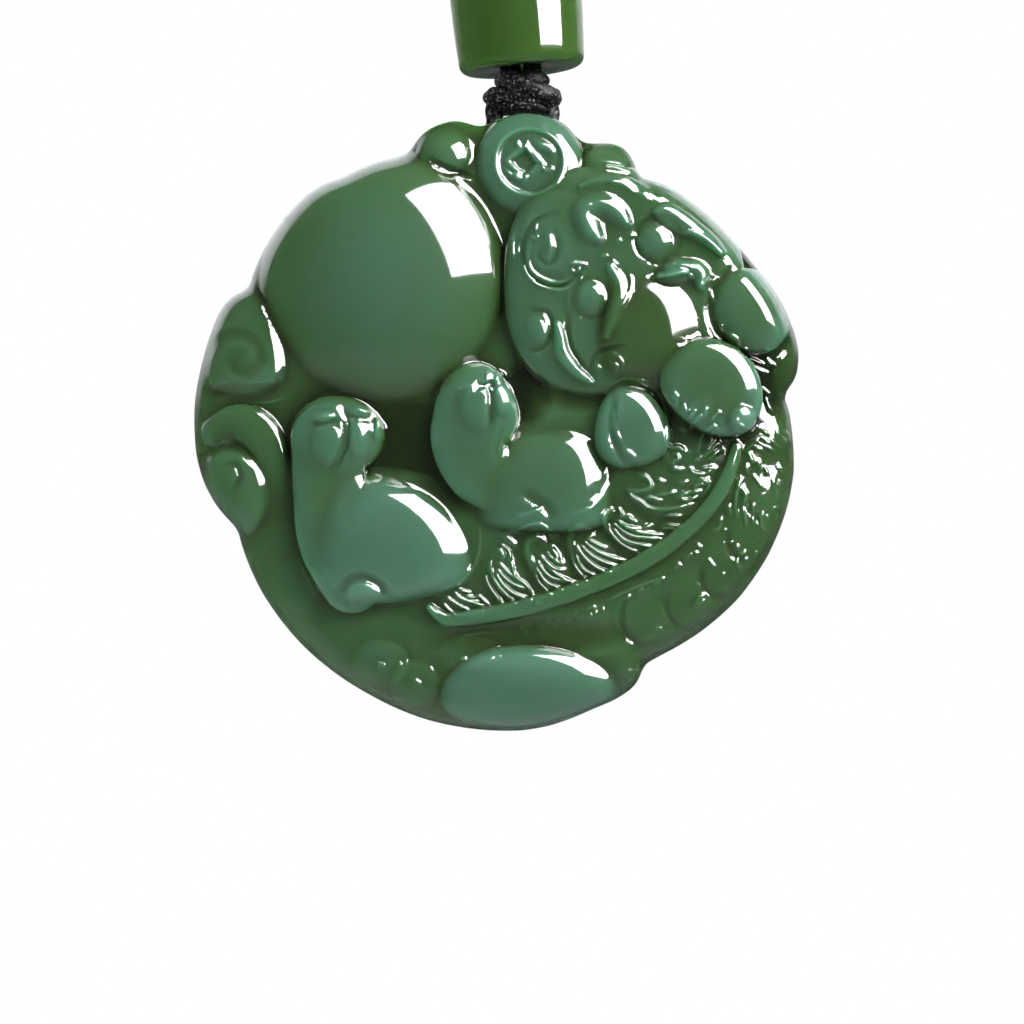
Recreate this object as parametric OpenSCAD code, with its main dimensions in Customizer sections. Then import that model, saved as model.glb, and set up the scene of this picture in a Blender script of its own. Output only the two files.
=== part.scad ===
// Round carved jade pendant on a knotted black cord with a barrel bead
// Millimetres, +Z up, the carved front towards -Y
// The origin is the top of the hanging loop, inside, where the pendant hangs

/* [Jade carving] */
// Width of the carving
jade_w = 50; // [36:1:70]
// Height of the carving, with the coin and the ears on top
jade_h = 50.7; // [36:0.1:72]
// How far the highest carving stands in front of the rim
front_t = 8.5; // [6.5:0.1:12]
// How far the domed back stands behind the rim
back_t = 8.1; // [6.5:0.1:12]
// Width of the rounding along the rim
rim_w = 3; // [1.5:0.1:4]
// Front of the rim behind which the coin and the ears are cut back
ear_back = 1.5; // [1:0.1:2]

/* [Hanging hole] */
// Space round the cord in the bore behind the coin
bore_slack = 0.2; // [0.1:0.05:0.3]
// Wall of the lug round the bore
lug_wall = 1.35; // [1:0.05:1.5]
// Width of the lug, along the bore
lug_w = 2.5; // [2.2:0.1:4]
// How far the bore lies behind the rim
bore_back = 0.5; // [0.2:0.05:0.8]

/* [Cord] */
// Thickness of the braided cord
cord_d = 1.5; // [1.2:0.05:1.7]
// Inside radius of the strand's bend at each end of the bore
bend_in = 0.3; // [0.25:0.05:0.6]
// Space round each strand in a knot and in the bead
slack = 0.1; // [0.05:0.01:0.15]

/* [Knots] */
// How far a knot reaches past the strands that leave it below
knot_side = 0.2; // [0.15:0.05:1]
// Depth of a knot, front to back
knot_t = 4.6; // [4:0.1:5.4]
// Height of a knot
knot_h = 3.5; // [3:0.1:4.5]
// Rounding of a knot's edges
knot_edge = 1.2; // [0.6:0.1:1.4]
// Space between the coin and the lower knot
knot_gap = 0.3; // [0.2:0.05:1]

/* [Barrel bead] */
// Length of the bead
bead_h = 18; // [12:0.5:24]
// Diameter of the bead at its middle
bead_d = 11; // [9:0.1:14]
// Diameter of the bead at its ends, before their edges are rounded
bead_end_d = 10.3; // [8:0.1:11]
// Rounding of the bead's edges
bead_edge = 0.8; // [0.3:0.1:1.2]
// Space between the bead and each knot
bead_gap = 0.15; // [0.1:0.05:0.3]
// Lean of the bead and all above it, top to the left
lean = 5; // [0:0.5:8]

/* [Hidden] */
$fn = 64;
jade_green = [0.24, 0.42, 0.3];
bead_green = [0.3, 0.42, 0.2];
cord_black = [0.07, 0.07, 0.07];

// The carving is drawn on a chart about its middle. Across it a cell is a hundredth of the
// width, and up it is the share of the height that keeps the cells square on this size.
// Depths are hundredths of the front's depth.
chart_h = 101.4;
cell_x = jade_w / 100;
cell_z = jade_h / chart_h;
cell_y = front_t / 100;

// The rim, anticlockwise from the right: direction in degrees, reach in cells
OUTLINE = [
    [0, 48.7], [4, 48.3], [7, 47.6], [8.5, 49], [10, 50.2], [14, 51.4], [18, 51.7], [24, 51.4],
    [32, 50.5], [40, 49.8], [48, 49.5], [55, 49.1], [57, 48.6], [60.5, 47.3], [62, 48.6],
    [65, 50.4], [67, 50.6], [69, 50.2], [72, 49.1], [73.5, 49], [75, 49.6], [76, 50.5], [78, 51.4],
    [81, 52], [85, 52], [88, 51.4], [90, 50.5], [92, 49.7], [93.5, 49.6], [95, 50.1], [97, 50.9],
    [99, 51], [102, 50.6], [105, 49.6], [107.8, 47.6], [110, 47.9], [115, 48.5], [122, 48.8],
    [124, 49.4], [128, 49.9], [134, 49.6], [142, 48.7], [148, 47.7], [150, 47.1], [152, 48.2],
    [154, 49.3], [157, 49.8], [165, 49.9], [175, 50.1], [185, 49.8], [190, 49.2], [195, 48],
    [201, 45.8], [204, 46.2], [214, 47.1], [228, 47.9], [244, 48.5], [256, 49.2], [268, 49.6],
    [275, 49.8], [280, 49.6], [289, 48.7], [294, 48.6], [298, 48.1], [300, 47.2], [302, 45.7],
    [306, 46], [315, 47.3], [325, 48.6], [335, 49.3], [345, 49.6], [352, 49.5], [360, 48.7],
];

// The coin on top: middle across and up, radius, middle of its raised ring
coin = [5.3, 43.3, 8.2, 6.6];

// Rounded forms. Columns: place across, place up, half length, half width, turn of the
// length in degrees, depth of the foot, rise of the middle above the foot
LOBES = [
    // the great smooth dome
    [-18, 24, 21, 22, 0, 22, 75],
    // the ears beside the coin
    [-7.5, 45.5, 4.6, 4.2, 0, 20, 30],
    [18.3, 43.4, 5.2, 4, -10, 20, 30],
    // the coin
    [coin[0], coin[1], coin[2], coin[2], 0, 16, 30],
    // the head: skull, ear, brows, curl, eyes, eye tail, cheek, muzzle, drop, mouth curl
    [20.5, 25, 17.5, 17.5, 0, 28, 46],
    [13, 32.5, 8.5, 7.5, 60, 35, 52],
    [21, 37, 6.5, 3.6, -12, 35, 46],
    [32.5, 33.5, 7.5, 3.6, -42, 35, 44],
    [8, 27, 4.8, 5.6, 0, 30, 46],
    [26.4, 30.8, 3, 3, 0, 45, 44],
    [15.5, 21, 2.7, 2.7, 0, 40, 44],
    [32.5, 26.6, 4.6, 2.2, 5, 45, 38],
    [25.5, 15.5, 7.5, 9, 0, 32, 53],
    [11, 13.5, 4.6, 8, 18, 30, 44],
    [6, 16, 2.6, 2.8, 0, 30, 36],
    [17.7, 9.6, 2.9, 2.7, 0, 35, 42],
    // the claws and the round paw on the right
    [42, 19.7, 8.2, 5.6, -42, 22, 52],
    [36, 8, 9.6, 6.6, -38, 24, 60],
    [39.5, 1.4, 2.7, 2.6, 0, 28, 36],
    [21.7, 0.3, 6.3, 8, 8, 24, 60],
    // the right leg's toes and haunch
    [-5, 4, 3.8, 5, -25, 34, 50],
    [-1.2, 6, 3, 5.2, -8, 34, 50],
    [1.5, 5.6, 2, 4, 0, 34, 42],
    [10.5, -4.8, 9.3, 9.1, 0, 24, 60],
    // the left leg's toes and haunch
    [-28.3, 0, 3.8, 4.4, 0, 32, 48],
    [-23.8, 0.6, 3, 4, 0, 32, 48],
    [-19.8, 0.2, 2.4, 3, 20, 30, 42],
    [-14.4, -17.4, 11.2, 10.5, 0, 24, 64],
    [-21.5, -27.2, 2.9, 2.3, 10, 28, 34],
    // the scrolls on the left
    [-40.5, 13.5, 6.6, 8.6, 0, 14, 50],
    [-40.3, 0.6, 6.3, 4.8, -20, 14, 42],
    [-41.5, -9, 5.3, 7.9, 10, 14, 46],
    [-32.5, -26, 5, 5, 0, 20, 26],
    // the small balls and the smooth oval at the bottom
    [-19, -38, 4.7, 4.3, 0, 16, 34],
    [-13.5, -41.4, 4.3, 4, 0, 16, 34],
    [4.8, -42, 16.5, 7.2, 0, 12, 44],
    // the layer behind, at the bottom and at the right
    [20.4, -40, 3.4, 2.6, 45, 10, 24],
    [46.6, 9.5, 3.2, 5.6, 0, 10, 30],
    // the wing's flame tufts inside the spine
    [-6.5, -28, 3.8, 1.9, -30, 30, 28],
    [1.8, -23.2, 4.2, 2.1, -62, 30, 30],
    [8, -21.2, 4.4, 2.3, -58, 30, 31],
    [15.6, -19.4, 4.4, 2.3, -50, 30, 31],
    [22, -16.6, 4.4, 2.3, -38, 30, 31],
    [28, -11.6, 5, 2.2, -14, 30, 30],
    [32, -6.2, 4, 2, 12, 30, 29],
    [34.6, -1, 3.8, 1.9, 48, 30, 28],
    [31.4, 2.8, 3, 1.7, 40, 30, 26],
    // the wing's scallops outside the spine
    [22.5, -31.6, 5, 3.6, -20, 20, 26],
    [30, -28.6, 4.4, 3.8, 0, 20, 26],
    [37.3, -23.8, 4.4, 3.6, 30, 20, 26],
    [40.5, -17, 4, 3.4, 50, 20, 26],
    [43.8, -12.6, 4, 3, 60, 20, 26],
    [43, -6, 4.6, 2.9, 70, 20, 26],
    [46, -0.6, 3, 2.6, 60, 20, 24],
];

// Limbs and ridges, each a chain. Columns: place across, place up, half width, depth of the top
STROKES = [
    // left leg
    [[-27.2, -1, 5.8, 74], [-27.6, -10, 5.4, 72], [-26.6, -18, 6.2, 72], [-23.4, -25.4, 5, 64]],
    // right leg
    [[-2.6, 2.4, 6.6, 80], [-3.6, -4, 7, 80], [1, -9.6, 5.6, 72], [4.4, -12, 3, 60]],
    // the wing's spine
    [[-11, -28.4, 0.9, 50], [-7.6, -30.8, 1.2, 56], [-2.6, -30.9, 1.5, 60], [4.4, -29.5, 1.6, 62],
     [12.3, -27, 1.6, 63], [19.4, -23.9, 1.6, 63], [26, -20.2, 1.5, 63], [31.6, -16, 1.5, 62],
     [35.9, -11.3, 1.4, 61], [38.4, -7.2, 1.3, 60], [39.6, -3.4, 1.1, 56]],
    // ridge over the bottom oval
    [[3.3, -34.8, 0.7, 40], [12.2, -33.8, 0.9, 44], [18.4, -34.4, 0.7, 40]],
    // nose
    [[18.3, 25.6, 0.9, 84], [20.3, 22, 1.2, 88], [19.4, 18.4, 1.1, 86], [16.4, 12.6, 0.9, 78]],
    // jaw
    [[10.6, 19, 0.7, 78], [10.4, 14.4, 1, 80], [12.2, 9.8, 1, 76], [15, 7.2, 0.8, 68]],
    // brow and snout
    [[27.4, 35.4, 1, 80], [33, 33, 1.2, 80], [37, 29.6, 0.9, 72]],
    [[25.4, 24.4, 0.8, 82], [30.4, 24.7, 0.9, 82], [33.2, 22.9, 0.8, 76]],
];

// Sunken places between the forms. Columns: place across, place up, half length, half width,
// turn of the length in degrees, drop below the ground
PITS = [
    [-15.4, -1.6, 5.4, 4, 0, 22],
    [3.4, 6, 2.4, 5.6, 0, 22],
    [3, 22, 2.6, 15, 2, 12],
    [15, 3, 3.4, 3, 0, 14],
];

// The ground between the forms: its depth at the rim, and how much it swells to the middle
ground_rim = 36;
ground_swell = 10;

// The cut behind the coin and the ears: its two sides, its lower edge, and how wide each fades
cut_left = -11;
cut_right = 22;
cut_low = 38.5;
cut_fade = 7;

// Shape of the back: share of its depth that is left where the rim's rounding starts
back_edge = 0.52;

// The lug: its middle across, and the bore's place up, in cells
lug_cell_x = 4.2;
bore_cell_z = 42.8;
coin_top = 51.7;

// Sizes and places worked out from the sizes above
cord_r = cord_d / 2;
bore_d = cord_d + 2 * bore_slack;
lug_t = bore_d + 2 * lug_wall;
bend_r = cord_r + bend_in;
leg_x = lug_w / 2 + bend_r;
strand_x = cord_r + slack;
bead_bore_d = 2 * (strand_x + cord_r + slack);
knot_r = knot_t / 2;
knot_w = 2 * (leg_x + cord_r + knot_side);
tuck = 1;
loop_foot = bead_h + 2 * bead_gap + knot_h;
lug_x = lug_cell_x * cell_x;
bore_z = bore_cell_z * cell_z;

// The hanging loop: its middle line's points, across and up from the top knot, up one side
// and then, turned about, down the other
LOOP_SIDE = [
    [-0.85, -0.9], [-0.85, 0.5], [-0.9, 2], [-1.2, 4.5], [-1.8, 7.5], [-2.6, 10.5], [-3.4, 14],
    [-4, 17.5], [-4.4, 21], [-4.5, 24], [-4.4, 26.5], [-3.8, 28.4], [-2.8, 29.6], [-1.4, 30.3],
];
LOOP_TOP = [0, 30.5];
LOOP = concat(
    LOOP_SIDE,
    [LOOP_TOP],
    [for (i = [len(LOOP_SIDE) - 1 : -1 : 0]) [-LOOP_SIDE[i][0], LOOP_SIDE[i][1]]]
);
loop_in = LOOP_TOP[1] - cord_r;

// From the origin down to the lower knot, and from there to the carving's middle
lean_drop = loop_in + loop_foot;
pivot_x = lean_drop * sin(lean);
pivot_z = -lean_drop * cos(lean);
jade_x = pivot_x - lug_x;
jade_z = pivot_z - knot_h - knot_gap - coin_top * cell_z;

// A smooth step from 0 at a to 1 at b
function fade(v, a, b) = let (t = max(0, min(1, (v - a) / (b - a)))) t * t * (3 - 2 * t);

// Lobes and pits with the cosine and sine of their turn at the end of the row
function turned(rows) = [for (r = rows) concat(r, [cos(r[4]), sin(r[4])])];

// 1 at the middle of an ellipse, 0 on its edge, less outside. c is the column of the cosine
function inside(r, c, x, z) =
    let (dx = x - r[0], dz = z - r[1])
    abs(dx) > r[2] + r[3] || abs(dz) > r[2] + r[3] ? -1 :
    let (a = (dx * r[c] + dz * r[c + 1]) / r[2], b = (dz * r[c] - dx * r[c + 1]) / r[3])
    1 - a * a - b * b;

function lobe_top(r, x, z) = let (q = inside(r, 7, x, z)) q <= 0 ? 0 : r[5] + r[6] * sqrt(q);

function pit_drop(r, x, z) = let (q = inside(r, 6, x, z)) q <= 0 ? 0 : r[5] * q;

// One straight piece of a chain: start, run, squared length, half widths and tops
function segments(chains) = [
    for (c = chains) for (i = [0 : len(c) - 2])
        let (a = c[i], b = c[i + 1], dx = b[0] - a[0], dz = b[1] - a[1])
        [a[0], a[1], dx, dz, dx * dx + dz * dz, a[2], b[2] - a[2], a[3], b[3] - a[3]]
];

stroke_foot = 30;
function stroke_top(s, x, z) =
    let (
        px = x - s[0], pz = z - s[1],
        t = max(0, min(1, (px * s[2] + pz * s[3]) / s[4])),
        ox = px - t * s[2], oz = pz - t * s[3],
        w = s[5] + t * s[6],
        q = 1 - (ox * ox + oz * oz) / (w * w)
    )
    q <= 0 ? 0 : stroke_foot + (s[7] + t * s[8] - stroke_foot) * sqrt(q);

function ring_top(x, z) =
    let (s = (norm([x - coin[0], z - coin[1]]) - coin[3]) / 1.1)
    abs(s) >= 1 ? 0 : 30 + 24 * sqrt(1 - s * s);

// How much of the cut behind the coin and the ears there is at a place, 0 to 1
function cut_share(x, z) =
    fade(z, cut_low - cut_fade, cut_low)
    * fade(x, cut_left - cut_fade, cut_left)
    * (1 - fade(x, cut_right, cut_right + cut_fade));

// Depth of the front, of the back and of the edge between them, in millimetres before the rim.
// f is the share of the way from the middle to the rim
function front_depth(x, z, f, lobes, chains, pits) =
    let (ground = ground_rim + ground_swell * (1 - f * f) - max([for (p = pits) pit_drop(p, x, z)]))
    cell_y * max(
        ground,
        ring_top(x, z),
        max([for (l = lobes) lobe_top(l, x, z)]),
        max([for (s = chains) stroke_top(s, x, z)])
    );

function back_depth(x, z, f) =
    let (plain = -back_t * (1 - (1 - back_edge) * f * f), c = cut_share(x, z))
    plain * (1 - c) + ear_back * c;

ear_edge = 0.9;
function edge_depth(x, z) = (ear_back + ear_edge) * cut_share(x, z);

// The polar net. Rows of a ring: share of the way to the rim, share of the depth that is left
function rings(count, rim_steps) =
    let (w = rim_w / (jade_w / 2))
    concat(
        [for (i = [1 : count]) [(1 - w) * i / count, 1]],
        [for (i = [1 : rim_steps - 1]) let (a = 90 * i / rim_steps) [1 - w * (1 - sin(a)), cos(a)]]
    );

sectors = 192;
fine_share = 0.46;
middle_share = 0.2;
function ring_sectors(f, coarse) =
    let (n = f >= fine_share ? sectors : f >= middle_share ? sectors / 2 : sectors / 4)
    coarse ? max(sectors / 4, n / 2) : n;

function net_point(f, i, n) =
    let (a = 360 * i / n, r = f * lookup(a, OUTLINE))
    [r * cos(a), r * sin(a)];

// Triangles between an outer ring of n points from a and an inner ring of m points from b,
// where n is m or twice m
function band(a, n, b, m) = n == m
    ? [for (i = [0 : n - 1]) each let (j = (i + 1) % n) [[a + i, a + j, b + j], [a + i, b + j, b + i]]]
    : [for (i = [0 : m - 1]) each
        let (o = a + 2 * i, p = a + (2 * i + 2) % n, j = b + (i + 1) % m)
        [[o, o + 1, b + i], [o + 1, j, b + i], [o + 1, p, j]]];

function fan(a, n, tip) = [for (i = [0 : n - 1]) [a + i, a + (i + 1) % n, tip]];

function sum_to(v, k) = k <= 0 ? 0 : v[k - 1] + sum_to(v, k - 1);

// Faces of one side: the rim is ring 0, the others follow inwards, and the middle point is last
function side_faces(counts, start, tip) =
    let (n = len(counts), at = [for (k = [0 : n]) k == 0 ? 0 : start + sum_to(counts, k) - counts[0]])
    concat(
        [for (k = [0 : n - 2]) each band(at[k], counts[k], at[k + 1], counts[k + 1])],
        fan(at[n - 1], counts[n - 1], tip)
    );

// A depth evened out with its four neighbours, so that the net doesn't show as teeth
own_share = 0.4;
function at_ring(depths, k, i, n) =
    let (j = max(0, min(len(depths) - 1, k))) depths[j][floor(i * len(depths[j]) / n)];
function softened(depths, k, i) =
    let (
        n = len(depths[k]),
        beside = depths[k][(i + 1) % n] + depths[k][(i + n - 1) % n],
        across = at_ring(depths, k - 1, i, n) + at_ring(depths, k + 1, i, n)
    )
    own_share * depths[k][i] + (1 - own_share) * (beside + across) / 4;

function flipped(faces) = [for (f = faces) [f[0], f[2], f[1]]];

module carved_body() {
    lobes = turned(LOBES);
    pits = turned(PITS);
    chains = segments(STROKES);
    front = rings(30, 5);
    back = rings(12, 4);
    front_inwards = [for (k = [len(front) - 1 : -1 : 0]) front[k]];
    back_inwards = [for (k = [len(back) - 1 : -1 : 0]) back[k]];
    rim = [
        for (i = [0 : sectors - 1]) let (p = net_point(1, i, sectors))
            [p[0] * cell_x, -edge_depth(p[0], p[1]), p[1] * cell_z]
    ];
    front_depths = [
        for (r = front_inwards) let (n = ring_sectors(r[0], false)) [
            for (i = [0 : n - 1])
                let (p = net_point(r[0], i, n))
                front_depth(p[0], p[1], r[0], lobes, chains, pits)
        ]
    ];
    front_points = [
        for (k = [0 : len(front_inwards) - 1])
            let (r = front_inwards[k], n = len(front_depths[k]))
            for (i = [0 : n - 1])
                let (p = net_point(r[0], i, n), e = edge_depth(p[0], p[1]), d = softened(front_depths, k, i))
                [p[0] * cell_x, -(e + (d - e) * r[1]), p[1] * cell_z]
    ];
    back_points = [
        for (r = back_inwards) let (n = ring_sectors(r[0], true)) for (i = [0 : n - 1])
            let (p = net_point(r[0], i, n), e = edge_depth(p[0], p[1]), d = back_depth(p[0], p[1], r[0]))
            [p[0] * cell_x, -(e + (d - e) * r[1]), p[1] * cell_z]
    ];
    front_tip = [0, -front_depth(0, 0, 0, lobes, chains, pits), 0];
    back_tip = [0, back_t, 0];
    front_counts = concat([sectors], [for (r = front_inwards) ring_sectors(r[0], false)]);
    back_counts = concat([sectors], [for (r = back_inwards) ring_sectors(r[0], true)]);
    back_start = sectors + len(front_points);
    tip_at = back_start + len(back_points);
    polyhedron(
        concat(rim, front_points, back_points, [front_tip, back_tip]),
        concat(
            flipped(side_faces(front_counts, sectors, tip_at)),
            side_faces(back_counts, back_start, tip_at + 1)
        )
    );
}

// The lug behind the coin, round about the bore, down to the carving's shoulder
lug_down = 4.2;
lug_front = ear_back + 0.6;
module lug() {
    translate([lug_x, bore_back, bore_z]) {
        rotate([0, 90, 0]) cylinder(d = lug_t, h = lug_w, center = true);
        translate([-lug_w / 2, -bore_back - lug_front, 0])
            cube([lug_w, bore_back + lug_front, lug_t / 4]);
        translate([-lug_w / 2, -bore_back - lug_front, -lug_down])
            cube([lug_w, bore_back + lug_front + lug_t / 2, lug_down]);
    }
}

module jade_carving() {
    color(jade_green)
    translate([jade_x, -bore_back, jade_z])
    difference() {
        union() {
            carved_body();
            lug();
        }
        translate([lug_x, bore_back, bore_z]) rotate([0, 90, 0])
            cylinder(d = bore_d, h = lug_w + 2, center = true);
    }
}

// The place of the lower knot's top, where the lean starts, and the leaning frame above it
module at_knot() {
    translate([pivot_x, 0, pivot_z]) children();
}

module at_lean() {
    at_knot() rotate([0, -lean, 0]) children();
}

// Room for a strand's end, or for two side by side, in the face of a knot at height z
module tuck_hole(x, z, d) {
    translate([x, 0, z]) cylinder(d = d, h = 2 * tuck, center = true);
}

module knot_profile() {
    square([knot_r - knot_edge, knot_h]);
    translate([0, knot_edge]) square([knot_r, knot_h - 2 * knot_edge]);
    intersection() {
        for (z = [knot_edge, knot_h - knot_edge])
            translate([knot_r - knot_edge, z]) circle(r = knot_edge);
        square([knot_r, knot_h]);
    }
}

// Two rounded turns of cord side by side
module knot_body() {
    for (side = [-1, 1])
        translate([side * (knot_w / 2 - knot_r), 0, 0]) rotate_extrude() knot_profile();
}

module lower_knot() {
    color(cord_black)
    difference() {
        at_knot() translate([0, 0, -knot_h]) knot_body();
        at_knot() for (side = [-1, 1]) tuck_hole(side * leg_x, -knot_h, cord_d + 2 * slack);
        at_lean() tuck_hole(0, 0, bead_bore_d);
    }
}

// The strand through the bore: down from the knot, across behind the coin and up again
module bail_cord() {
    leg_top = pivot_z - knot_h + tuck - 2 * slack;
    leg_foot = jade_z + bore_z + bend_r;
    color(cord_black)
    translate([pivot_x, 0, 0]) {
        translate([0, 0, jade_z + bore_z]) rotate([0, 90, 0])
            cylinder(r = cord_r, h = lug_w, center = true);
        for (side = [-1, 1]) {
            translate([side * lug_w / 2, 0, leg_foot]) rotate([90, 0, 0])
                rotate([0, 0, side > 0 ? -90 : 180])
                    rotate_extrude(angle = 90) translate([bend_r, 0]) circle(r = cord_r);
            translate([side * leg_x, 0, leg_foot]) cylinder(r = cord_r, h = leg_top - leg_foot);
        }
    }
}

// The two strands through the bead, tucked into the knot at each end
module bead_cord() {
    color(cord_black)
    at_lean() for (side = [-1, 1])
        translate([side * strand_x, 0, 2 * slack - tuck])
            cylinder(r = cord_r, h = loop_foot - knot_h + 2 * tuck - 4 * slack);
}

// Half of the bead's section: the bore, the rounded edges and the barrel's curve
bead_steps = 12;
edge_steps = 5;
module bead_section() {
    sag = (bead_d - bead_end_d) / 2;
    barrel_r = (bead_h * bead_h / 4 + sag * sag) / (2 * sag);
    middle_x = bead_d / 2 - barrel_r;
    half = bead_h / 2 - bead_edge;
    edge_x = middle_x + sqrt(barrel_r * barrel_r - half * half) - bead_edge;
    edge = [for (i = [0 : edge_steps]) let (a = 90 * i / edge_steps) bead_edge * [sin(a), 1 - cos(a)]];
    barrel = [
        for (i = [1 : bead_steps - 1])
            let (z = half * (2 * i / bead_steps - 1))
            [middle_x + sqrt(barrel_r * barrel_r - z * z), bead_h / 2 + z]
    ];
    polygon(concat(
        [[bead_bore_d / 2, 0]],
        [for (p = edge) [edge_x + p[0], p[1]]],
        barrel,
        [for (i = [edge_steps : -1 : 0]) [edge_x + edge[i][0], bead_h - edge[i][1]]],
        [[bead_bore_d / 2, bead_h]]
    ));
}

module barrel_bead() {
    color(bead_green)
    at_lean() translate([0, 0, bead_gap]) rotate_extrude() bead_section();
}

module top_knot() {
    color(cord_black)
    at_lean() translate([0, 0, bead_h + 2 * bead_gap]) difference() {
        knot_body();
        tuck_hole(0, 0, bead_bore_d);
        tuck_hole(0, knot_h, bead_bore_d);
    }
}

// A cord along points in the plane of the loop, ends included
tube_sides = 8;
module flat_tube(points, r) {
    n = len(points);
    rings = [
        for (i = [0 : n - 1])
            let (
                run = points[min(i + 1, n - 1)] - points[max(i - 1, 0)],
                along = run / norm(run)
            )
            for (k = [0 : tube_sides - 1])
                let (a = 360 * (k + 0.5) / tube_sides)
                [points[i][0] - along[1] * r * cos(a), r * sin(a), points[i][1] + along[0] * r * cos(a)]
    ];
    sides = [
        for (i = [0 : n - 2]) for (k = [0 : tube_sides - 1])
            let (a = i * tube_sides, j = (k + 1) % tube_sides)
            [a + k, a + j, a + tube_sides + j, a + tube_sides + k]
    ];
    ends = [
        [for (k = [tube_sides - 1 : -1 : 0]) k],
        [for (k = [0 : tube_sides - 1]) (n - 1) * tube_sides + k],
    ];
    polyhedron(rings, concat(sides, ends));
}

module hanging_loop() {
    color(cord_black)
    at_lean() translate([0, 0, loop_foot]) flat_tube(LOOP, cord_r);
}

jade_carving();
bail_cord();
lower_knot();
bead_cord();
barrel_bead();
top_knot();
hanging_loop();
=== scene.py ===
"""Dress the carved jade pendant: the carving, its braided cord, the knots, the bead and the studio."""

import logging
import math
from dataclasses import dataclass, field
from enum import Enum
from typing import Callable

import bpy
import numpy as np
from mathutils import Matrix, Vector


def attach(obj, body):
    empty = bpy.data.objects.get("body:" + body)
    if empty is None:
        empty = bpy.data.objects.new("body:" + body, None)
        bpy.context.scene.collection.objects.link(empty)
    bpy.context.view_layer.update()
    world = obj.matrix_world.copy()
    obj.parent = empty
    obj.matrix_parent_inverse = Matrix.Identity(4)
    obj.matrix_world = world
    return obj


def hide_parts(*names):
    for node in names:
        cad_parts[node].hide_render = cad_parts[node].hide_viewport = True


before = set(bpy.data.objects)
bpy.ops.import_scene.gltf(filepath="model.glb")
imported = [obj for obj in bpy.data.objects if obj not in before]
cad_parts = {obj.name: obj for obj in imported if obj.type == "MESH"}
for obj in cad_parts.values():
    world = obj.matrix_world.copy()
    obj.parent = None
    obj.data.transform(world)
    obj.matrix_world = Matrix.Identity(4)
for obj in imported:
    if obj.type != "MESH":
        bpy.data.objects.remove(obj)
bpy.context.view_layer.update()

LOG = logging.getLogger("jade_pendant")
MM = 0.001
# Points closer than this, in metres, are welded to one
WELD = 1e-7
Socket = bpy.types.NodeSocket


class Slot(Enum):
    """Material slots of the record."""

    JADE = "carved_jade"
    BEAD = "bead_jade"
    CORD = "black_cord"


class Body(Enum):
    """Bodies of the record."""

    HANGER = "hanger"
    PENDANT = "pendant"


# Places and sizes shared with the part's source, in millimetres
CELL = 0.5
DEPTH = 0.085
PIVOT = (4.4929, 0.0, -51.354)
LEAN = math.radians(5)
CARVING_MIDDLE = (2.3929, -0.5, -81.004)
CORD_RADIUS = 0.75
LEG_X = 2.3
BORE_Z = -59.604
BEND_RADIUS = 1.05
LUG_WIDTH = 2.5
KNOT_HEIGHT = 3.5
BEAD_LENGTH = 18.0
BEAD_GAP = 0.15
LOOP_FOOT = BEAD_LENGTH + 2 * BEAD_GAP + KNOT_HEIGHT
LOOP_SIDE = (
    (-0.85, -0.9), (-0.85, 0.5), (-0.9, 2), (-1.2, 4.5), (-1.8, 7.5), (-2.6, 10.5), (-3.4, 14),
    (-4, 17.5), (-4.4, 21), (-4.5, 24), (-4.4, 26.5), (-3.8, 28.4), (-2.8, 29.6), (-1.4, 30.3),
)
LOOP_TOP = (0.0, 30.5)

# The rim, anticlockwise from the right: direction in degrees, reach in cells
OUTLINE = (
    (0, 48.7), (4, 48.3), (7, 47.6), (8.5, 49), (10, 50.2), (14, 51.4), (18, 51.7), (24, 51.4), (32, 50.5),
    (40, 49.8), (48, 49.5), (55, 49.1), (57, 48.6), (60.5, 47.3), (62, 48.6), (65, 50.4), (67, 50.6),
    (69, 50.2), (72, 49.1), (73.5, 49), (75, 49.6), (76, 50.5), (78, 51.4), (81, 52), (85, 52), (88, 51.4),
    (90, 50.5), (92, 49.7), (93.5, 49.6), (95, 50.1), (97, 50.9), (99, 51), (102, 50.6), (105, 49.6),
    (107.8, 47.6), (110, 47.9), (115, 48.5), (122, 48.8), (124, 49.4), (128, 49.9), (134, 49.6),
    (142, 48.7), (148, 47.7), (150, 47.1), (152, 48.2), (154, 49.3), (157, 49.8), (165, 49.9), (175, 50.1),
    (185, 49.8), (190, 49.2), (195, 48), (201, 45.8), (204, 46.2), (214, 47.1), (228, 47.9), (244, 48.5),
    (256, 49.2), (268, 49.6), (275, 49.8), (280, 49.6), (289, 48.7), (294, 48.6), (298, 48.1), (300, 47.2),
    (302, 45.7), (306, 46), (315, 47.3), (325, 48.6), (335, 49.3), (345, 49.6), (352, 49.5), (360, 48.7),
)

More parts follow.
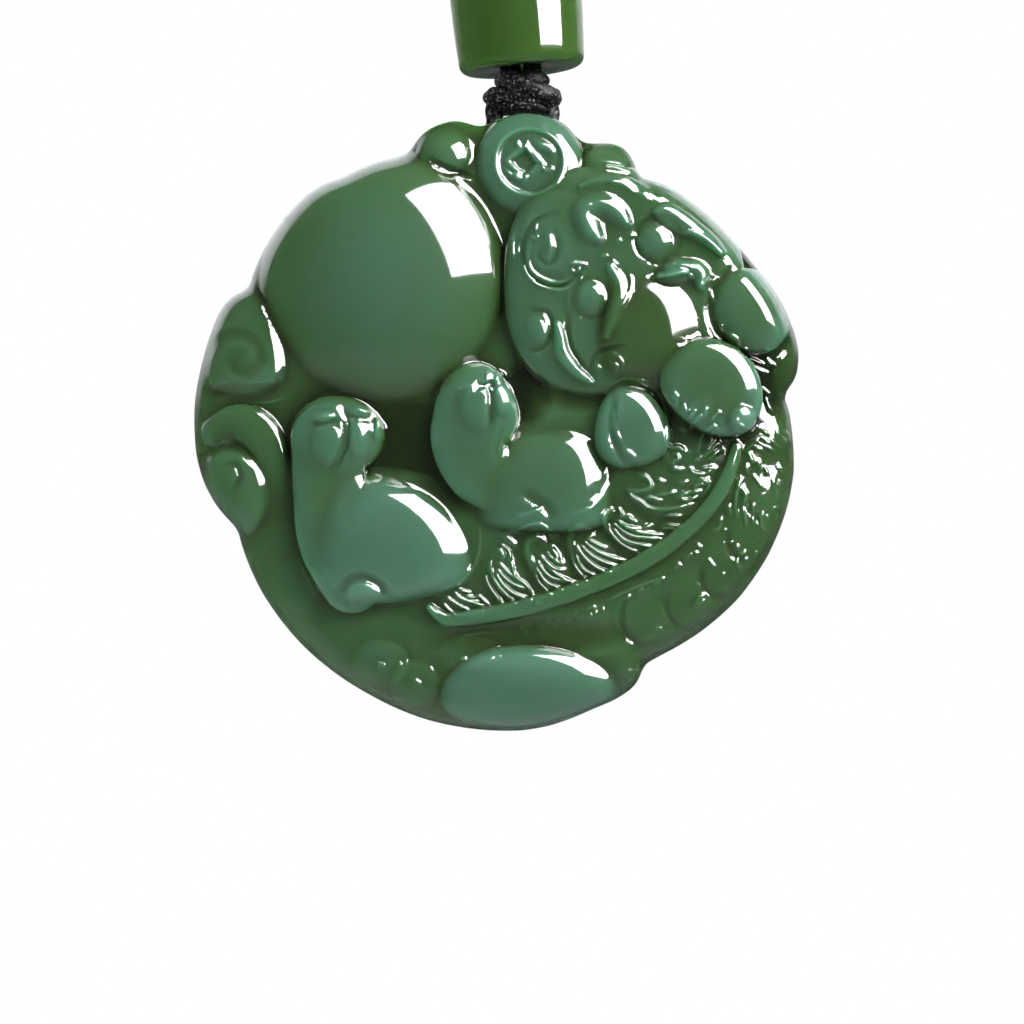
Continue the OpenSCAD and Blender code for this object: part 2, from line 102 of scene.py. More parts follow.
# Large rounded forms of the carving, in chart cells. Columns: place of the top across and up,
# reach to the right, up, left and down, turn in degrees, height, steepness, squareness (with the
# outline's own after it, where that is not round), tint, fillet, share of the stone's own
# roundness that the form follows
FORMS = {
    "dome": (-18, 24, 21.3, 22.3, 21.3, 22.3, 0, 98, 0.585, 2, -0.1, 4, 0),
    "dome_foot": (-16, 3, 17, 9, 17, 10, 0, 62, 0.2, 2.2, -0.3, 12, 0),
    "left_ear": (-8.6, 44.6, 4.8, 5.4, 4.8, 3.6, 0, 58, 0.8, 2.3, 0, 4, 1),
    "right_ear": (17.4, 42.4, 6.8, 5, 4.4, 3.4, -8, 58, 0.8, 2.3, 0, 4, 1),
    "coin": (5.3, 43.3, 8.9, 8.9, 8.9, 8.9, 0, 59, 0.6, 4.5, 0.2, 4, 0.5),
    "skull": (17, 24, 23.4, 18.8, 16, 19, 0, 70, 0.28, (7, 2.4), 0.02, 2, 0.3),
    "cheek": (22.1, 14.8, 12.4, 12, 7, 9, 0, 83.5, 0.5, (2.1, 2.8), -0.35, 5, 0.3),
    "upper_claw": (41, 19, 7.4, 7.2, 7.2, 6.4, -50, 72, 0.5, 2.7, 0, 2, 0.3),
    "lower_claw": (33.8, 6, 9.6, 8.8, 8.6, 6, -36, 82, 0.5, 4, -0.1, 2, 0.3),
    "paw": (20.5, -1.8, 8, 9.2, 5, 5, 0, 80, 0.7, 3.8, 0.05, 2, 0.5),
    "right_foot": (-3.4, 2.4, 6.4, 8.4, 7, 8, 0, 79, 0.56, 3, 0, 2, 0.5),
    "right_haunch": (9.2, -13.4, 10.4, 15.2, 14, 4, 0, 81, 0.76, (2.9, 2.8), 0, 3, 0.3),
    "left_foot": (-26.4, -1.2, 8.6, 6.8, 7.2, 7, 0, 76, 0.56, 3, 0, 2, 0.5),
    "left_haunch": (-22, -23, 19.8, 17.2, 9, 6.4, 0, 83, 0.84, 3.7, 0.1, 4, 0.5),
    "top_scroll": (-41, 9, 7.4, 15, 8, 4, 0, 62, 0.5, 2.8, 0, 4, 1),
    "low_scroll": (-43, -10, 6.6, 9, 5.4, 8, 10, 60, 0.7, 2.7, 0, 4, 1),
    "oval": (4, -43.6, 16.6, 8.6, 14, 6.5, 0, 62, 0.47, 3, 0.3, 3, 1),
    "back_bump": (21.4, -40.6, 3, 2.8, 3, 2.6, 45, 38, 0.7, 2.3, -0.3, 2, 1),
    "right_back": (46.4, 8.6, 3.6, 6, 3.2, 5, 0, 40, 0.5, 2.5, -0.2, 3, 1),
}

# Small rounded features that stand on the forms, in chart cells. Columns: place of the top across
# and up, reach to the right, up, left and down, turn in degrees, rise, squareness
FEATURES = {
    "ear_shell": (8.2, 28.2, 5, 5.6, 5, 5.6, 0, 1.5, 2.6),
    "forehead": (9.6, 31.4, 8.2, 7, 6, 7, 0, 3.5, 2.4),
    "right_eye": (25.6, 30.2, 2.9, 2.9, 2.9, 2.9, 0, 6, 2),
    "tail_bump": (28.9, 25.8, 2.6, 1.9, 2.4, 1.8, 5, 5, 2),
    "left_socket": (15.2, 20.8, 4.2, 4.2, 4, 4.2, 0, 2, 2.8),
    "left_eye": (15.3, 21, 2.5, 2.5, 2.5, 2.5, 0, 4.6, 2), "lip": (8.2, 11.4, 5, 8, 5, 6.6, 0, 2, 2.8),
    "drop": (6.3, 16, 1.7, 2.2, 1.8, 2.8, 20, 2.6, 2.2), "muzzle": (13.6, 13.4, 4.4, 5.6, 4, 6, 0, 2, 2.6),
    "mouth_curl": (17.6, 9.2, 3, 3, 2.8, 2.8, 0, 1.8, 2.4),
    "claw_tip": (39.5, 1.3, 2.6, 2.4, 2.4, 2.4, 0, 7, 2.4),
    "right_toe_2": (-3.4, 3.6, 2.9, 3.4, 2.8, 4.2, 0, 4, 2.4),
    "right_toe_3": (0.9, 4.9, 1.9, 2.6, 1.6, 3, 0, 3.4, 2.4),
    "right_nail_1": (-4.9, 6.3, 1.9, 1.3, 1.8, 1.2, 20, 3, 2.2),
    "right_nail_2": (-0.2, 8.3, 1.8, 1.4, 1.8, 1.3, 0, 4, 2.2),
    "left_toe_1": (-27.4, -2, 2.7, 2.8, 2.8, 4, 0, 3.8, 2.4),
    "left_toe_2": (-22, -1.4, 2.3, 2.9, 2, 3.6, 0, 4, 2.4),
    "left_toe_3": (-19.3, -0.2, 1.6, 1.9, 1.4, 2.2, 20, 3, 2.3),
    "left_nail_1": (-28, 1.7, 1.9, 1.1, 1.8, 1.1, 0, 3, 2.2),
    "left_nail_2": (-22, 2.7, 1.7, 1.1, 1.6, 1.1, -15, 3, 2.2),
    "heel": (-21.4, -27.1, 2.9, 2.3, 2.9, 2.2, 0, 2.6, 2.4),
    "faint_scroll": (-33, -25.6, 5, 5, 5, 5, 0, 2.5, 2.2),
    "ball_1": (-19, -38, 4.8, 3.8, 4.8, 4, 0, 5, 2.4),
    "ball_2": (-13.4, -41.4, 4.2, 4, 4.2, 4.2, 0, 5.5, 2.4),
    "oval_side": (-4.4, -36.4, 5.4, 3.2, 5, 3, 0, 3, 2.4),
    "tuft_0": (-6.2, -28, 4.8, 2.2, 4.4, 2.2, -30, 2, 2.6),
    "tuft_1": (1.6, -23.6, 4.8, 2.8, 5, 2.8, -58, 2.4, 2.6),
    "tuft_2": (8, -21.6, 5.2, 2.9, 5, 2.9, -52, 2.4, 2.6),
    "tuft_3": (15.4, -19.8, 5.4, 3, 5, 3, -46, 2.4, 2.6),
    "tuft_4": (21.8, -16.8, 5.4, 2.8, 5, 2.8, -32, 2.4, 2.6),
    "tuft_5": (26.6, -11.6, 6, 2.8, 5.4, 2.8, -12, 2.4, 2.6),
    "tuft_6": (31, -9.4, 4, 2.6, 3.6, 2.6, 10, 2, 2.6),
    "tuft_7": (34, -2.2, 4.6, 2.5, 4.2, 2.4, 52, 2, 2.6),
    "tuft_8": (31.8, 2.2, 3.6, 2.2, 3.2, 2.2, 40, 2, 2.6),
    "tuft_curl": (29.4, -4.9, 2.4, 2.4, 2.4, 2.4, 0, 2, 2.6),
    "scallop_1": (23.2, -31, 5.6, 4.4, 5, 4, -20, 1.6, 2.2),
    "scallop_2": (31, -27.6, 4.8, 4.4, 4.4, 4, 0, 1.6, 2.2),
    "scallop_3": (37.3, -22.6, 5, 4.2, 4.6, 3.8, 30, 1.6, 2.2),
    "scallop_4": (41, -16.4, 4.6, 3.6, 4.2, 3.2, 55, 1.6, 2.2),
    "scallop_5": (43.8, -10.6, 4.4, 3.4, 4.2, 3, 65, 1.6, 2.2),
    "scallop_6": (42.4, -3.8, 4.6, 3, 4.2, 2.6, 65, 1.6, 2.2),
    "scallop_7": (46.2, -1, 3, 2.8, 3, 2.5, 60, 1.6, 2.2),
}

# Limbs, each along a smooth line. Columns: steepness, squareness, tint, fillet, then for each
# point the place across and up, half width and height
LIMBS = {
    "left_leg": (0.6, 4.0, 0.0, 12, (
        (-27, -2, 6.4, 75), (-27.2, -10, 5.8, 74), (-26.4, -18, 5.8, 75), (-23.4, -24.8, 5.2, 72),
    )),
    "right_leg": (0.6, 4.0, 0.0, 7, (
        (-3.4, 2, 7, 80), (-4.6, -2, 6.1, 80), (-2.8, -6.6, 5.6, 78), (1.4, -10.2, 4.2, 73),
    )),
    "middle_scroll": (0.7, 2.6, 0, 4, (
        (-46, -0.6, 2.4, 50), (-42, 1, 3.2, 58), (-38.4, -0.8, 3.4, 61), (-36.2, -5.4, 2.8, 60),
        (-35.9, -11, 2, 54), (-36.6, -15.5, 1.2, 46),
    )),
}

# Raised bands that stand on the forms, each along a smooth line. Columns: rise, squareness (2 for
# a band with soft edges), then for each point the place across and up and the half width
BANDS = {
    "spine": (7, 4.5, (
        (-10.8, -28.9, 0.7), (-9.2, -30.4, 1), (-7.4, -31, 1.2), (-2.6, -30.5, 1.4), (4.4, -29, 1.5),
        (12.3, -26.6, 1.5), (19.4, -23.8, 1.5), (26, -20.2, 1.5), (31.6, -15.8, 1.4), (35.6, -11.3, 1.4),
        (37.8, -7, 1.3), (39, -3, 1),
    )),
    "jaw": (5, 2.2, (
        (9.8, 16.6, 0.6), (10.2, 14.2, 1.1), (10.5, 12.2, 1.2), (12.1, 9.9, 1.1), (13.9, 8.4, 0.9),
        (15.3, 7.4, 0.5),
    )),
    "head_top": (2, 2.2, (
        (13.5, 39.2, 0.5), (16, 40.1, 0.8), (19, 40.4, 0.9), (21.6, 39.8, 1), (23.4, 38.6, 1),
        (24.2, 37.2, 0.7),
    )),
    "brow": (6, 2.2, (
        (26, 35, 0.9), (27.6, 34.6, 2), (29.8, 33.4, 2), (32.2, 32, 1.6), (34.6, 30.4, 1.3),
        (36.4, 28.6, 0.9),
    )),
    "eye_tail": (8, 2.0, (
        (26.4, 24.6, 1), (28.2, 24.8, 1.9), (30, 25.4, 2.1), (31.8, 25.6, 2), (33, 24.8, 1.7),
        (33.1, 23.2, 1.1),
    )),
    "forehead_curl": (7, 2.0, (
        (16.4, 30.6, 1.2), (14.9, 32.4, 2.2), (14.1, 34.6, 2.4), (15.4, 35.9, 2.4), (17.6, 35.8, 2.4),
        (19.6, 34.7, 2), (20.9, 33.2, 1.2),
    )),
    "nose": (5, 2.0, (
        (18.4, 26, 0.9), (19.6, 23.4, 1.5), (19.6, 21, 1.6), (18.6, 18.2, 1.5), (17.6, 15, 0.9),
    )),
}

# Sunken places between the forms. Columns: place across, place up, half length, half width,
# turn in degrees, drop, darkening (painted shade in the hollow; below 0 it is painted light)
PITS = (
    (-14.6, -1.4, 8, 6, 0, 5, 0.6), (-9, -8, 8, 4, -48, 2, 0.3), (5, 6, 4, 6, 0, 5, 0.3),
    (0, 20, 13, 20, 0, 9, 0), (13, 5.4, 6, 3, 0, 4, 0.2), (-20, 1, 24, 10, 0, 6, 0.1),
    (6, -34, 17, 3.4, 3, 6, 0.1), (14, -21, 28, 9, 24, 4, 0.08), (45, 2, 14, 13, 0, 6, 0.1),
    (-30, -28, 18, 12, -45, 0, -0.12), (34, 33, 16, 7, -42, 8, 0),
)

# Fine raised lines, in chart cells. Columns: half width, rise, then the points
LINES = (
    # coin
    (0.35, 2.2, (4.4, 45.9), (5.6, 44.2), (6.4, 42.9), (5.4, 42.1)),
    (0.35, 2.2, (2.3, 42.7), (3.4, 41.9), (4.5, 41.3), (4.8, 40.1)),
    (0.45, 2.2, (1.4, 41.7), (2.4, 41.1), (3.6, 40.3)), (0.9, 3, (6.4, 46.2), (8, 45.7), (9.4, 44.7)),
    (0.5, 2.4, (3.1, 46.5), (3.8, 45.6)), (0.4, 2.2, (7.4, 42), (8.2, 41.8), (9.2, 42.2)),
    # ears
    (0.4, 2.4, (17.1, 43.3), (19, 43.2), (20.6, 43)), (0.35, 1.8, (17.2, 42.4), (19, 42.4), (20.4, 42.2)),
    # head
    (0.45, 2, (18, 40), (20.5, 39.3), (22.6, 37.9)), (0.4, 2, (25, 40.8), (27.8, 39.9), (29.8, 39)),
    (0.35, 2, (25.6, 41.1), (28.4, 40.3), (30.4, 39.4)), (0.35, 2, (26, 39.7), (28, 39), (29.6, 38.5)),
    (0.35, 1.6, (21, 30.9), (22.4, 31.1), (23, 30.1)), (0.3, 1.4, (18.5, 27.2), (20, 25.9)),
    (0.35, 1.8, (16.8, 27.4), (18, 28)), (0.35, 1.8, (19.2, 29.7), (20, 30.6)),
    (0.35, 2, (11.8, 26.4), (13.2, 26.6), (14.7, 26.2)), (0.35, 2, (12, 25.4), (12.7, 25.2), (13.5, 25.8)),
    (0.35, 1.8, (13.3, 23.6), (13.8, 24.3)),
    (0.4, 2.2, (5.2, 29.8), (5, 27.4), (5.8, 25.2), (8, 23.8), (10, 23.4), (12, 24.1)),
    (0.45, 2.4, (4, 28), (4.6, 25.4), (6.6, 23.3), (9.8, 22.4), (11.6, 22.8), (12.6, 23.9)),
    (0.4, 2, (2.8, 31.6), (2.5, 29.4), (2.6, 27.4)), (0.5, 1.6, (8.2, 31.4), (8.6, 29.4), (8.3, 27.4)),
    (0.35, 1.6, (6.4, 33.2), (6.1, 31.8)), (0.35, 1.6, (5.7, 30.4), (6.8, 31)),
    (0.5, 2.4, (29.5, 31.5), (31.2, 31.6), (33.2, 30.9), (35, 29.6), (36.3, 28.1)),
    (0.4, 2.2, (26.2, 24.2), (28.2, 24.6), (30.3, 25), (31.2, 24.5), (33.1, 23)),
    (0.45, 2.2, (21.4, 24.6), (21.7, 23.2), (21, 21), (19.9, 19)),
    (0.35, 1.8, (34.2, 22.6), (34.8, 21.2), (35, 19.7)), (0.3, 1.8, (31, 14.1), (32.6, 15.1)),
    (0.35, 1.8, (34.8, 23.6), (36, 24.5)), (0.35, 2, (18.2, 12.3), (19.4, 11.6), (20.3, 10.3), (20.4, 9)),
    (0.35, 2, (18.5, 10.5), (19.4, 9.9), (19.4, 9)), (0.35, 1.8, (16.1, 10.1), (16.8, 9.5)),
    (0.45, 2.2, (17.8, 6.9), (19, 7.3), (20.4, 7.9), (22.6, 7.8), (25, 6.7), (27, 4.2), (27.8, 1),
      (27.4, -3), (27, -6)),
    (0.45, 1.8, (18.7, 2.8), (18.8, 0.5), (19.8, -2.2)), (0.4, 1.8, (20.6, -3.4), (22.6, -5)),
    (0.35, 2, (38.4, 1.6), (39, 0.5), (40.2, 0)),
    # chips between the claws and the rim
    (0.35, 2.6, (36.2, 16.8), (36.3, 15.6)), (0.4, 2.6, (37.4, 15.1), (38.6, 14.5), (39.4, 13.2)),
    (0.35, 2.6, (39.9, 12.9), (40.6, 12.6)), (0.4, 2.8, (40.4, 11.5), (41.6, 11.2), (43.4, 10.4)),
    (0.4, 2.8, (41.4, 10.6), (42.6, 9.6), (44, 9.1)), (0.35, 2.4, (44, 11.2), (45, 10.3)),
    (0.6, 2.8, (46.2, 11), (47.7, 12.5)), (0.35, 2.4, (43.3, 12.9), (44.8, 12.6)),
    (0.4, 2.6, (43.3, 6.6), (44.6, 5.4)), (0.5, 2.8, (44, 5), (44.5, 3.5), (45.2, 2.9)),
    (0.45, 2.6, (46.2, 5.8), (47.2, 5.2)), (0.35, 2.4, (28.2, 5.9), (29, 5), (28.8, 3.4)),
    (0.35, 2.4, (28.4, 5.2), (28.6, 4.4)), (0.35, 2.6, (30, 4), (30.4, 2.8), (31.2, 3)),
    (0.35, 2.6, (31, 1.4), (32, 3)), (0.45, 2.8, (31.5, 0.4), (33.1, 2.2)),
    (0.35, 2.4, (33.7, 3.2), (33.4, 1.8)), (0.35, 2.4, (34.4, 1), (35.6, 2.5), (36, 2.2)),
    (0.5, 2.4, (29.7, 0.1), (30.7, -0.4)),
    # legs and toes
    (0.4, 2, (-25.1, 2.4), (-24.2, 0.2), (-24.5, -2.4), (-26, -6), (-27, -7.2)),
    (0.4, 2, (-1.4, 7.4), (-0.6, 5), (-0.5, 1)), (0.5, 2, (-28.2, 2), (-26.4, 2)),
    (0.45, 2, (-22.6, 3.2), (-20.5, 2.5)), (0.35, 1.6, (-22.8, 1.6), (-21.5, 1.5)),
    (0.4, 1.8, (-19.1, 1.4), (-19, -0.2)), (0.5, 1.6, (1.6, 0.4), (0.9, -2), (0.4, -4.6)),
    (0.45, 2, (3, -14), (4.6, -14), (6.4, -13.2), (7.6, -12.8)),
    (0.5, 1.8, (-2.9, -15.6), (-2.7, -18.6), (-3.6, -22), (-5.6, -24.6), (-9, -26.2)),
    (0.5, 1.6, (11.2, -13.9), (14.6, -13.2), (17.2, -11), (19, -7.6)),
    # left scrolls
    (0.4, 2, (-39.2, 4.2), (-36.8, 4.3), (-34.8, 4.9)),
    (0.4, 1.8, (-31.6, -22.3), (-30.4, -24.8), (-29.4, -27)),
    (0.4, 1.8, (-45.8, -2.8), (-44.6, -2.3), (-43.4, -2.2)),
    # wing: crest, curls and strands of the tufts
    (0.45, 2.6, (0.2, -17), (3, -16.7), (4.6, -15.9), (6.6, -15.5), (8.2, -16.4), (9.4, -18.2)),
    (0.35, 2.2, (7.8, -15.9), (9, -16.6), (9.9, -17.8)), (0.6, 2.6, (1, -17.2), (2.6, -18.6), (3, -19.2)),
    (0.35, 2.6, (-11, -28.6), (-9.8, -30)), (0.35, 2.4, (-8.8, -28.3), (-7.6, -29.6), (-6.6, -30.1)),
    (0.35, 2.6, (-8.2, -27.3), (-6.6, -28.4), (-4.7, -29.4)),
    (0.4, 3, (-7, -26.7), (-5.5, -27.7), (-3.5, -28.3), (-1.9, -28.8)),
    (0.35, 2.6, (-6, -26.2), (-4.2, -26.6)),
    (0.35, 2.6, (-5.4, -27), (-3.9, -27.4), (-2.9, -27.2), (-2.2, -27.8), (-1.4, -28.6)),
    (0.38, 3.2, (-1.9, -23.9), (-1, -25.9), (0.8, -28.3)),
    (0.4, 3.4, (-1, -21.2), (-0.9, -23.3), (0.3, -25.6), (2.8, -28.2)),
    (0.42, 3.4, (-0.5, -23), (1.2, -25.5), (3.2, -27), (5.4, -27.6)),
    (0.35, 3, (0, -22.8), (2, -24.8), (4.3, -25.9)),
    (0.35, 3, (0.4, -21.9), (2.4, -23.8), (4.6, -25.2), (5.8, -27)),
    (0.35, 2.6, (2.4, -21.8), (2.8, -23.4), (3.6, -24.6)),
    (0.5, 3, (-0.2, -19.8), (0.6, -19.7), (1, -20.5), (0.7, -21.1)),
    (0.35, 2.6, (0.5, -18.9), (1.8, -19.6), (2.2, -20.8), (1.9, -21.8)),
    (0.8, 3.6, (7.3, -18.1), (6.7, -17.6), (5.6, -17.8), (4.9, -19.2), (5.2, -21), (6.1, -23)),
    (0.38, 3.2, (6.1, -23.4), (6.9, -25), (8.7, -26.8)), (0.4, 3.4, (6.6, -23), (8.1, -25), (10.4, -26)),
    (0.38, 3.2, (6.4, -21.4), (8.6, -24), (11.9, -25)), (0.35, 3, (7, -20.6), (9.2, -22.6), (10.9, -23)),
    (0.35, 3, (8, -20.2), (9.8, -21.6), (10.6, -21.9)), (0.35, 3, (7.6, -22), (10, -23.8), (12.8, -25.1)),
    (0.55, 3, (8.8, -19.4), (9.6, -20.4), (9.9, -21.4)),
    (0.8, 3.6, (14.4, -16), (13.2, -16), (12.3, -16.7), (11.8, -18.2), (12, -20)),
    (0.38, 3.2, (12, -20), (12.7, -22.3), (14.4, -24.4)),
    (0.38, 3.2, (12.7, -20.6), (14, -22.8), (16, -23.9)),
    (0.42, 3.4, (12.6, -18.8), (14.6, -21.3), (16.6, -22.8), (18.2, -23.2)),
    (0.35, 3, (13.6, -19), (16, -21), (19, -22.3)), (0.35, 3, (14, -18.3), (17, -20.3), (20.8, -21.5)),
    (0.35, 3, (14.8, -18), (17.6, -19.5)), (0.4, 3, (14.4, -18.1), (15.5, -17.3)),
    (0.6, 3.4, (18.6, -13.2), (17.6, -13.9), (17.4, -15), (18, -16.4)),
    (0.4, 3.2, (18, -16.4), (20, -18.6), (22.8, -20.2)),
    (0.38, 3.2, (18.8, -16.2), (21, -18.2), (25, -19.2)),
    (0.38, 3.2, (19, -15.6), (22, -17.4), (26.6, -17.9)),
    (0.35, 3, (20, -15.4), (23, -16.8), (26.9, -17.3)),
    (0.35, 2.8, (19.4, -14.9), (21, -15.8), (23.4, -16.3)),
    (0.35, 2.6, (19.6, -12.8), (20.2, -13.8), (19.9, -14.9)), (0.35, 2.6, (21.2, -14.2), (22.2, -15.1)),
    (0.45, 2.6, (23.8, -16.2), (25.2, -15.6)),
    (0.42, 3.2, (23, -7.4), (24.3, -8), (24.9, -9.4), (23.4, -10.1), (21.4, -10)),
    (0.42, 3.2, (21.3, -10.1), (21.8, -11), (23.3, -11.9), (24.6, -12.9), (26.4, -13.1), (29, -12.9),
      (31.6, -12.3)),
    (0.38, 3, (24, -11.2), (25.4, -11.3), (26.6, -11.8)),
    (0.38, 3, (26, -10.9), (27.4, -10.6), (28.8, -10.3)), (0.45, 2.6, (26, -8.3), (27.2, -8.8)),
    (0.45, 3.2, (29.3, -11), (31, -10.4), (33, -10.2)),
    (0.42, 3.2, (29.6, -11.2), (30.8, -11.7), (32.6, -11)),
    (0.42, 3, (31.9, -9.5), (33, -9.1), (33.6, -8.8)),
    (0.35, 2.6, (32.8, -8.4), (34, -8.5), (34.3, -9.4), (33.6, -10.6)),
    (0.4, 2.6, (29.6, -9), (30.8, -8.6)), (0.38, 3, (27.3, -14.1), (29.9, -14.2)),
    (0.35, 2.8, (27.4, -15.6), (29.8, -15.9)), (0.35, 2.8, (26.9, -16.2), (28.6, -16.2)),
    (0.38, 2.8, (27.8, -3.1), (29.4, -3), (30.3, -3.8)),
    (0.42, 2.8, (29, -4.2), (29.4, -4.9), (28.6, -5.6), (28.8, -6.5), (30.5, -6.7)),
    (0.45, 2.8, (31.1, -6.2), (32, -7.2), (33.6, -7.3), (35.2, -6.6)),
    (0.35, 2.6, (33.2, -6.5), (35, -6.3)), (0.38, 3, (32.4, -3.6), (33.2, -1.4), (34.9, 0.3), (35.7, -0.8)),
    (0.4, 3, (34.7, -0.8), (34.8, -2), (33.9, -3.4)),
    (0.42, 3, (33, -4.8), (34.6, -3.6), (36, -2.4), (36.3, -3.6)), (0.45, 3, (34.5, -5), (36, -3.6)),
    (0.35, 2.6, (32.3, -5.2), (33, -4.4)),
    # wing: marks along and outside the spine
    (0.4, 2, (17.6, -28), (20, -26.9), (23.5, -25.4), (27.2, -24)), (0.4, 2.2, (14.4, -29.3), (16, -28.9)),
    (0.4, 2.2, (20.3, -27.7), (21.6, -27.1)), (0.35, 2.2, (22.7, -26.7), (23.7, -25.9)),
    (0.3, 2.2, (25.4, -25.4), (27.2, -24.2)), (0.35, 2.2, (29, -22.8), (29.5, -21.9), (29.8, -22.6)),
    (0.4, 2.2, (30.5, -21.5), (31.7, -20.1)), (0.35, 2.2, (32.1, -19.9), (32.5, -20.4)),
    (0.35, 2.2, (32.5, -18.7), (33.1, -19.4)), (0.4, 2.4, (36.4, -14.3), (36.2, -16), (35.2, -16.8)),
    (0.35, 2.2, (37, -16.2), (37.1, -16.8)), (0.4, 2.2, (38, -18.2), (38, -18.7)),
    (0.4, 2.4, (39.3, -19.4), (38.9, -19.1)), (0.45, 2.6, (37.6, -12.4), (38, -13.8)),
    (0.4, 2.8, (39.8, -8), (39.2, -9.4), (38.8, -11.4), (38.9, -14.4)),
    (0.5, 2.8, (39.5, -9.4), (40.4, -10.6), (40.2, -12.2)), (0.35, 2.2, (39.9, -12.4), (40.6, -15.8)),
    (0.35, 2.2, (41.4, -11.8), (41.8, -15.4)), (0.45, 2.6, (40.6, -6), (40.8, -7.5)),
    (0.4, 2.8, (40.4, -3.8), (41.7, -2.4), (43, -1.2)), (0.4, 2.8, (43, -1.2), (44.5, -2.6)),
    (0.45, 2.8, (42.2, -2), (44, -3), (45.2, -3.6)), (0.5, 2.8, (42, -2.9), (43.4, -3.5)),
    (0.35, 2.4, (44.6, -1.8), (46.3, -3)), (0.4, 2.6, (43.4, -0.2), (44.1, -0.9)),
    (0.45, 2.8, (41, -4), (41.7, -5.5)), (0.35, 2.4, (42.6, -5.4), (43, -6.8)),
    (0.35, 2.4, (43.6, -6.2), (44.2, -7.4)), (0.3, 2.2, (41.6, -7.4), (43.4, -9.8)),
    (0.45, 2.6, (46.2, 0.3), (45.8, -0.6), (46.4, -1.4), (47.9, -2.4)),
    (0.4, 2.6, (47, -0.3), (47.8, -1), (48, -2.2)), (0.5, 2.4, (46.2, -6.2), (46.8, -6.6)),
    (0.5, 2.4, (45.1, -8.2), (45.4, -9.6), (45.9, -10.4)), (0.35, 2.4, (46.3, -8.3), (46.2, -9.4)),
    (0.35, 2.2, (45.2, -13), (46, -12.7)), (0.4, 2.4, (43.4, -13.6), (43, -15.3), (44, -16.7)),
    (0.4, 2.4, (44.1, -14), (44.2, -14.9)), (0.4, 2.6, (39.2, -20.8), (39.2, -21.9), (39.9, -23.1)),
    (0.4, 2.4, (39.6, -20.5), (40.6, -20)), (0.4, 2.4, (40.4, -21.4), (41, -21.2)),
    (0.35, 2.2, (42.2, -20.1), (42.9, -20.3)), (0.35, 2.2, (34.2, -21), (35.4, -22.6)),
    (0.4, 2.2, (36.6, -23.6), (37, -23.8)), (0.4, 2.4, (32, -29), (32.6, -27.8), (33.8, -27)),
    (0.35, 2.2, (32.8, -28.5), (33.8, -27.8)), (0.35, 1.6, (25.6, -32.5), (27, -32.6)),
    # bottom
    (0.4, 2, (-6.2, -33.8), (-3.4, -33.2), (0.6, -33)), (0.4, 2.2, (-5.8, -37.3), (-5, -37.4)),
    (0.35, 2.2, (-1.2, -37.5), (-0.7, -37)), (0.45, 2.4, (-19.4, -38.1), (-18, -38.5)),
    (0.35, 2, (-15.9, -38), (-15.5, -38.4)), (0.4, 2.4, (-13.4, -40.7), (-12.3, -41.5)),
    (0.35, 2, (21.3, -39.5), (23, -39.3)), (0.35, 2, (21, -41.3), (23, -40.9)),
)

# Small raised dots along the wing's foot: place across, place up
DOTS = (
    (1.9, -33.2), (3.9, -32.2), (4.8, -32.8), (6.6, -31.9), (7.2, -32.6), (8.3, -31.3), (9.3, -31.9),
    (9.8, -31.1), (11.4, -31), (12.7, -30.3), (13.2, -30.9), (15.2, -30.3), (16, -29.9), (17.2, -29.4),
    (6.3, -28.4), (7, -28.4),
)

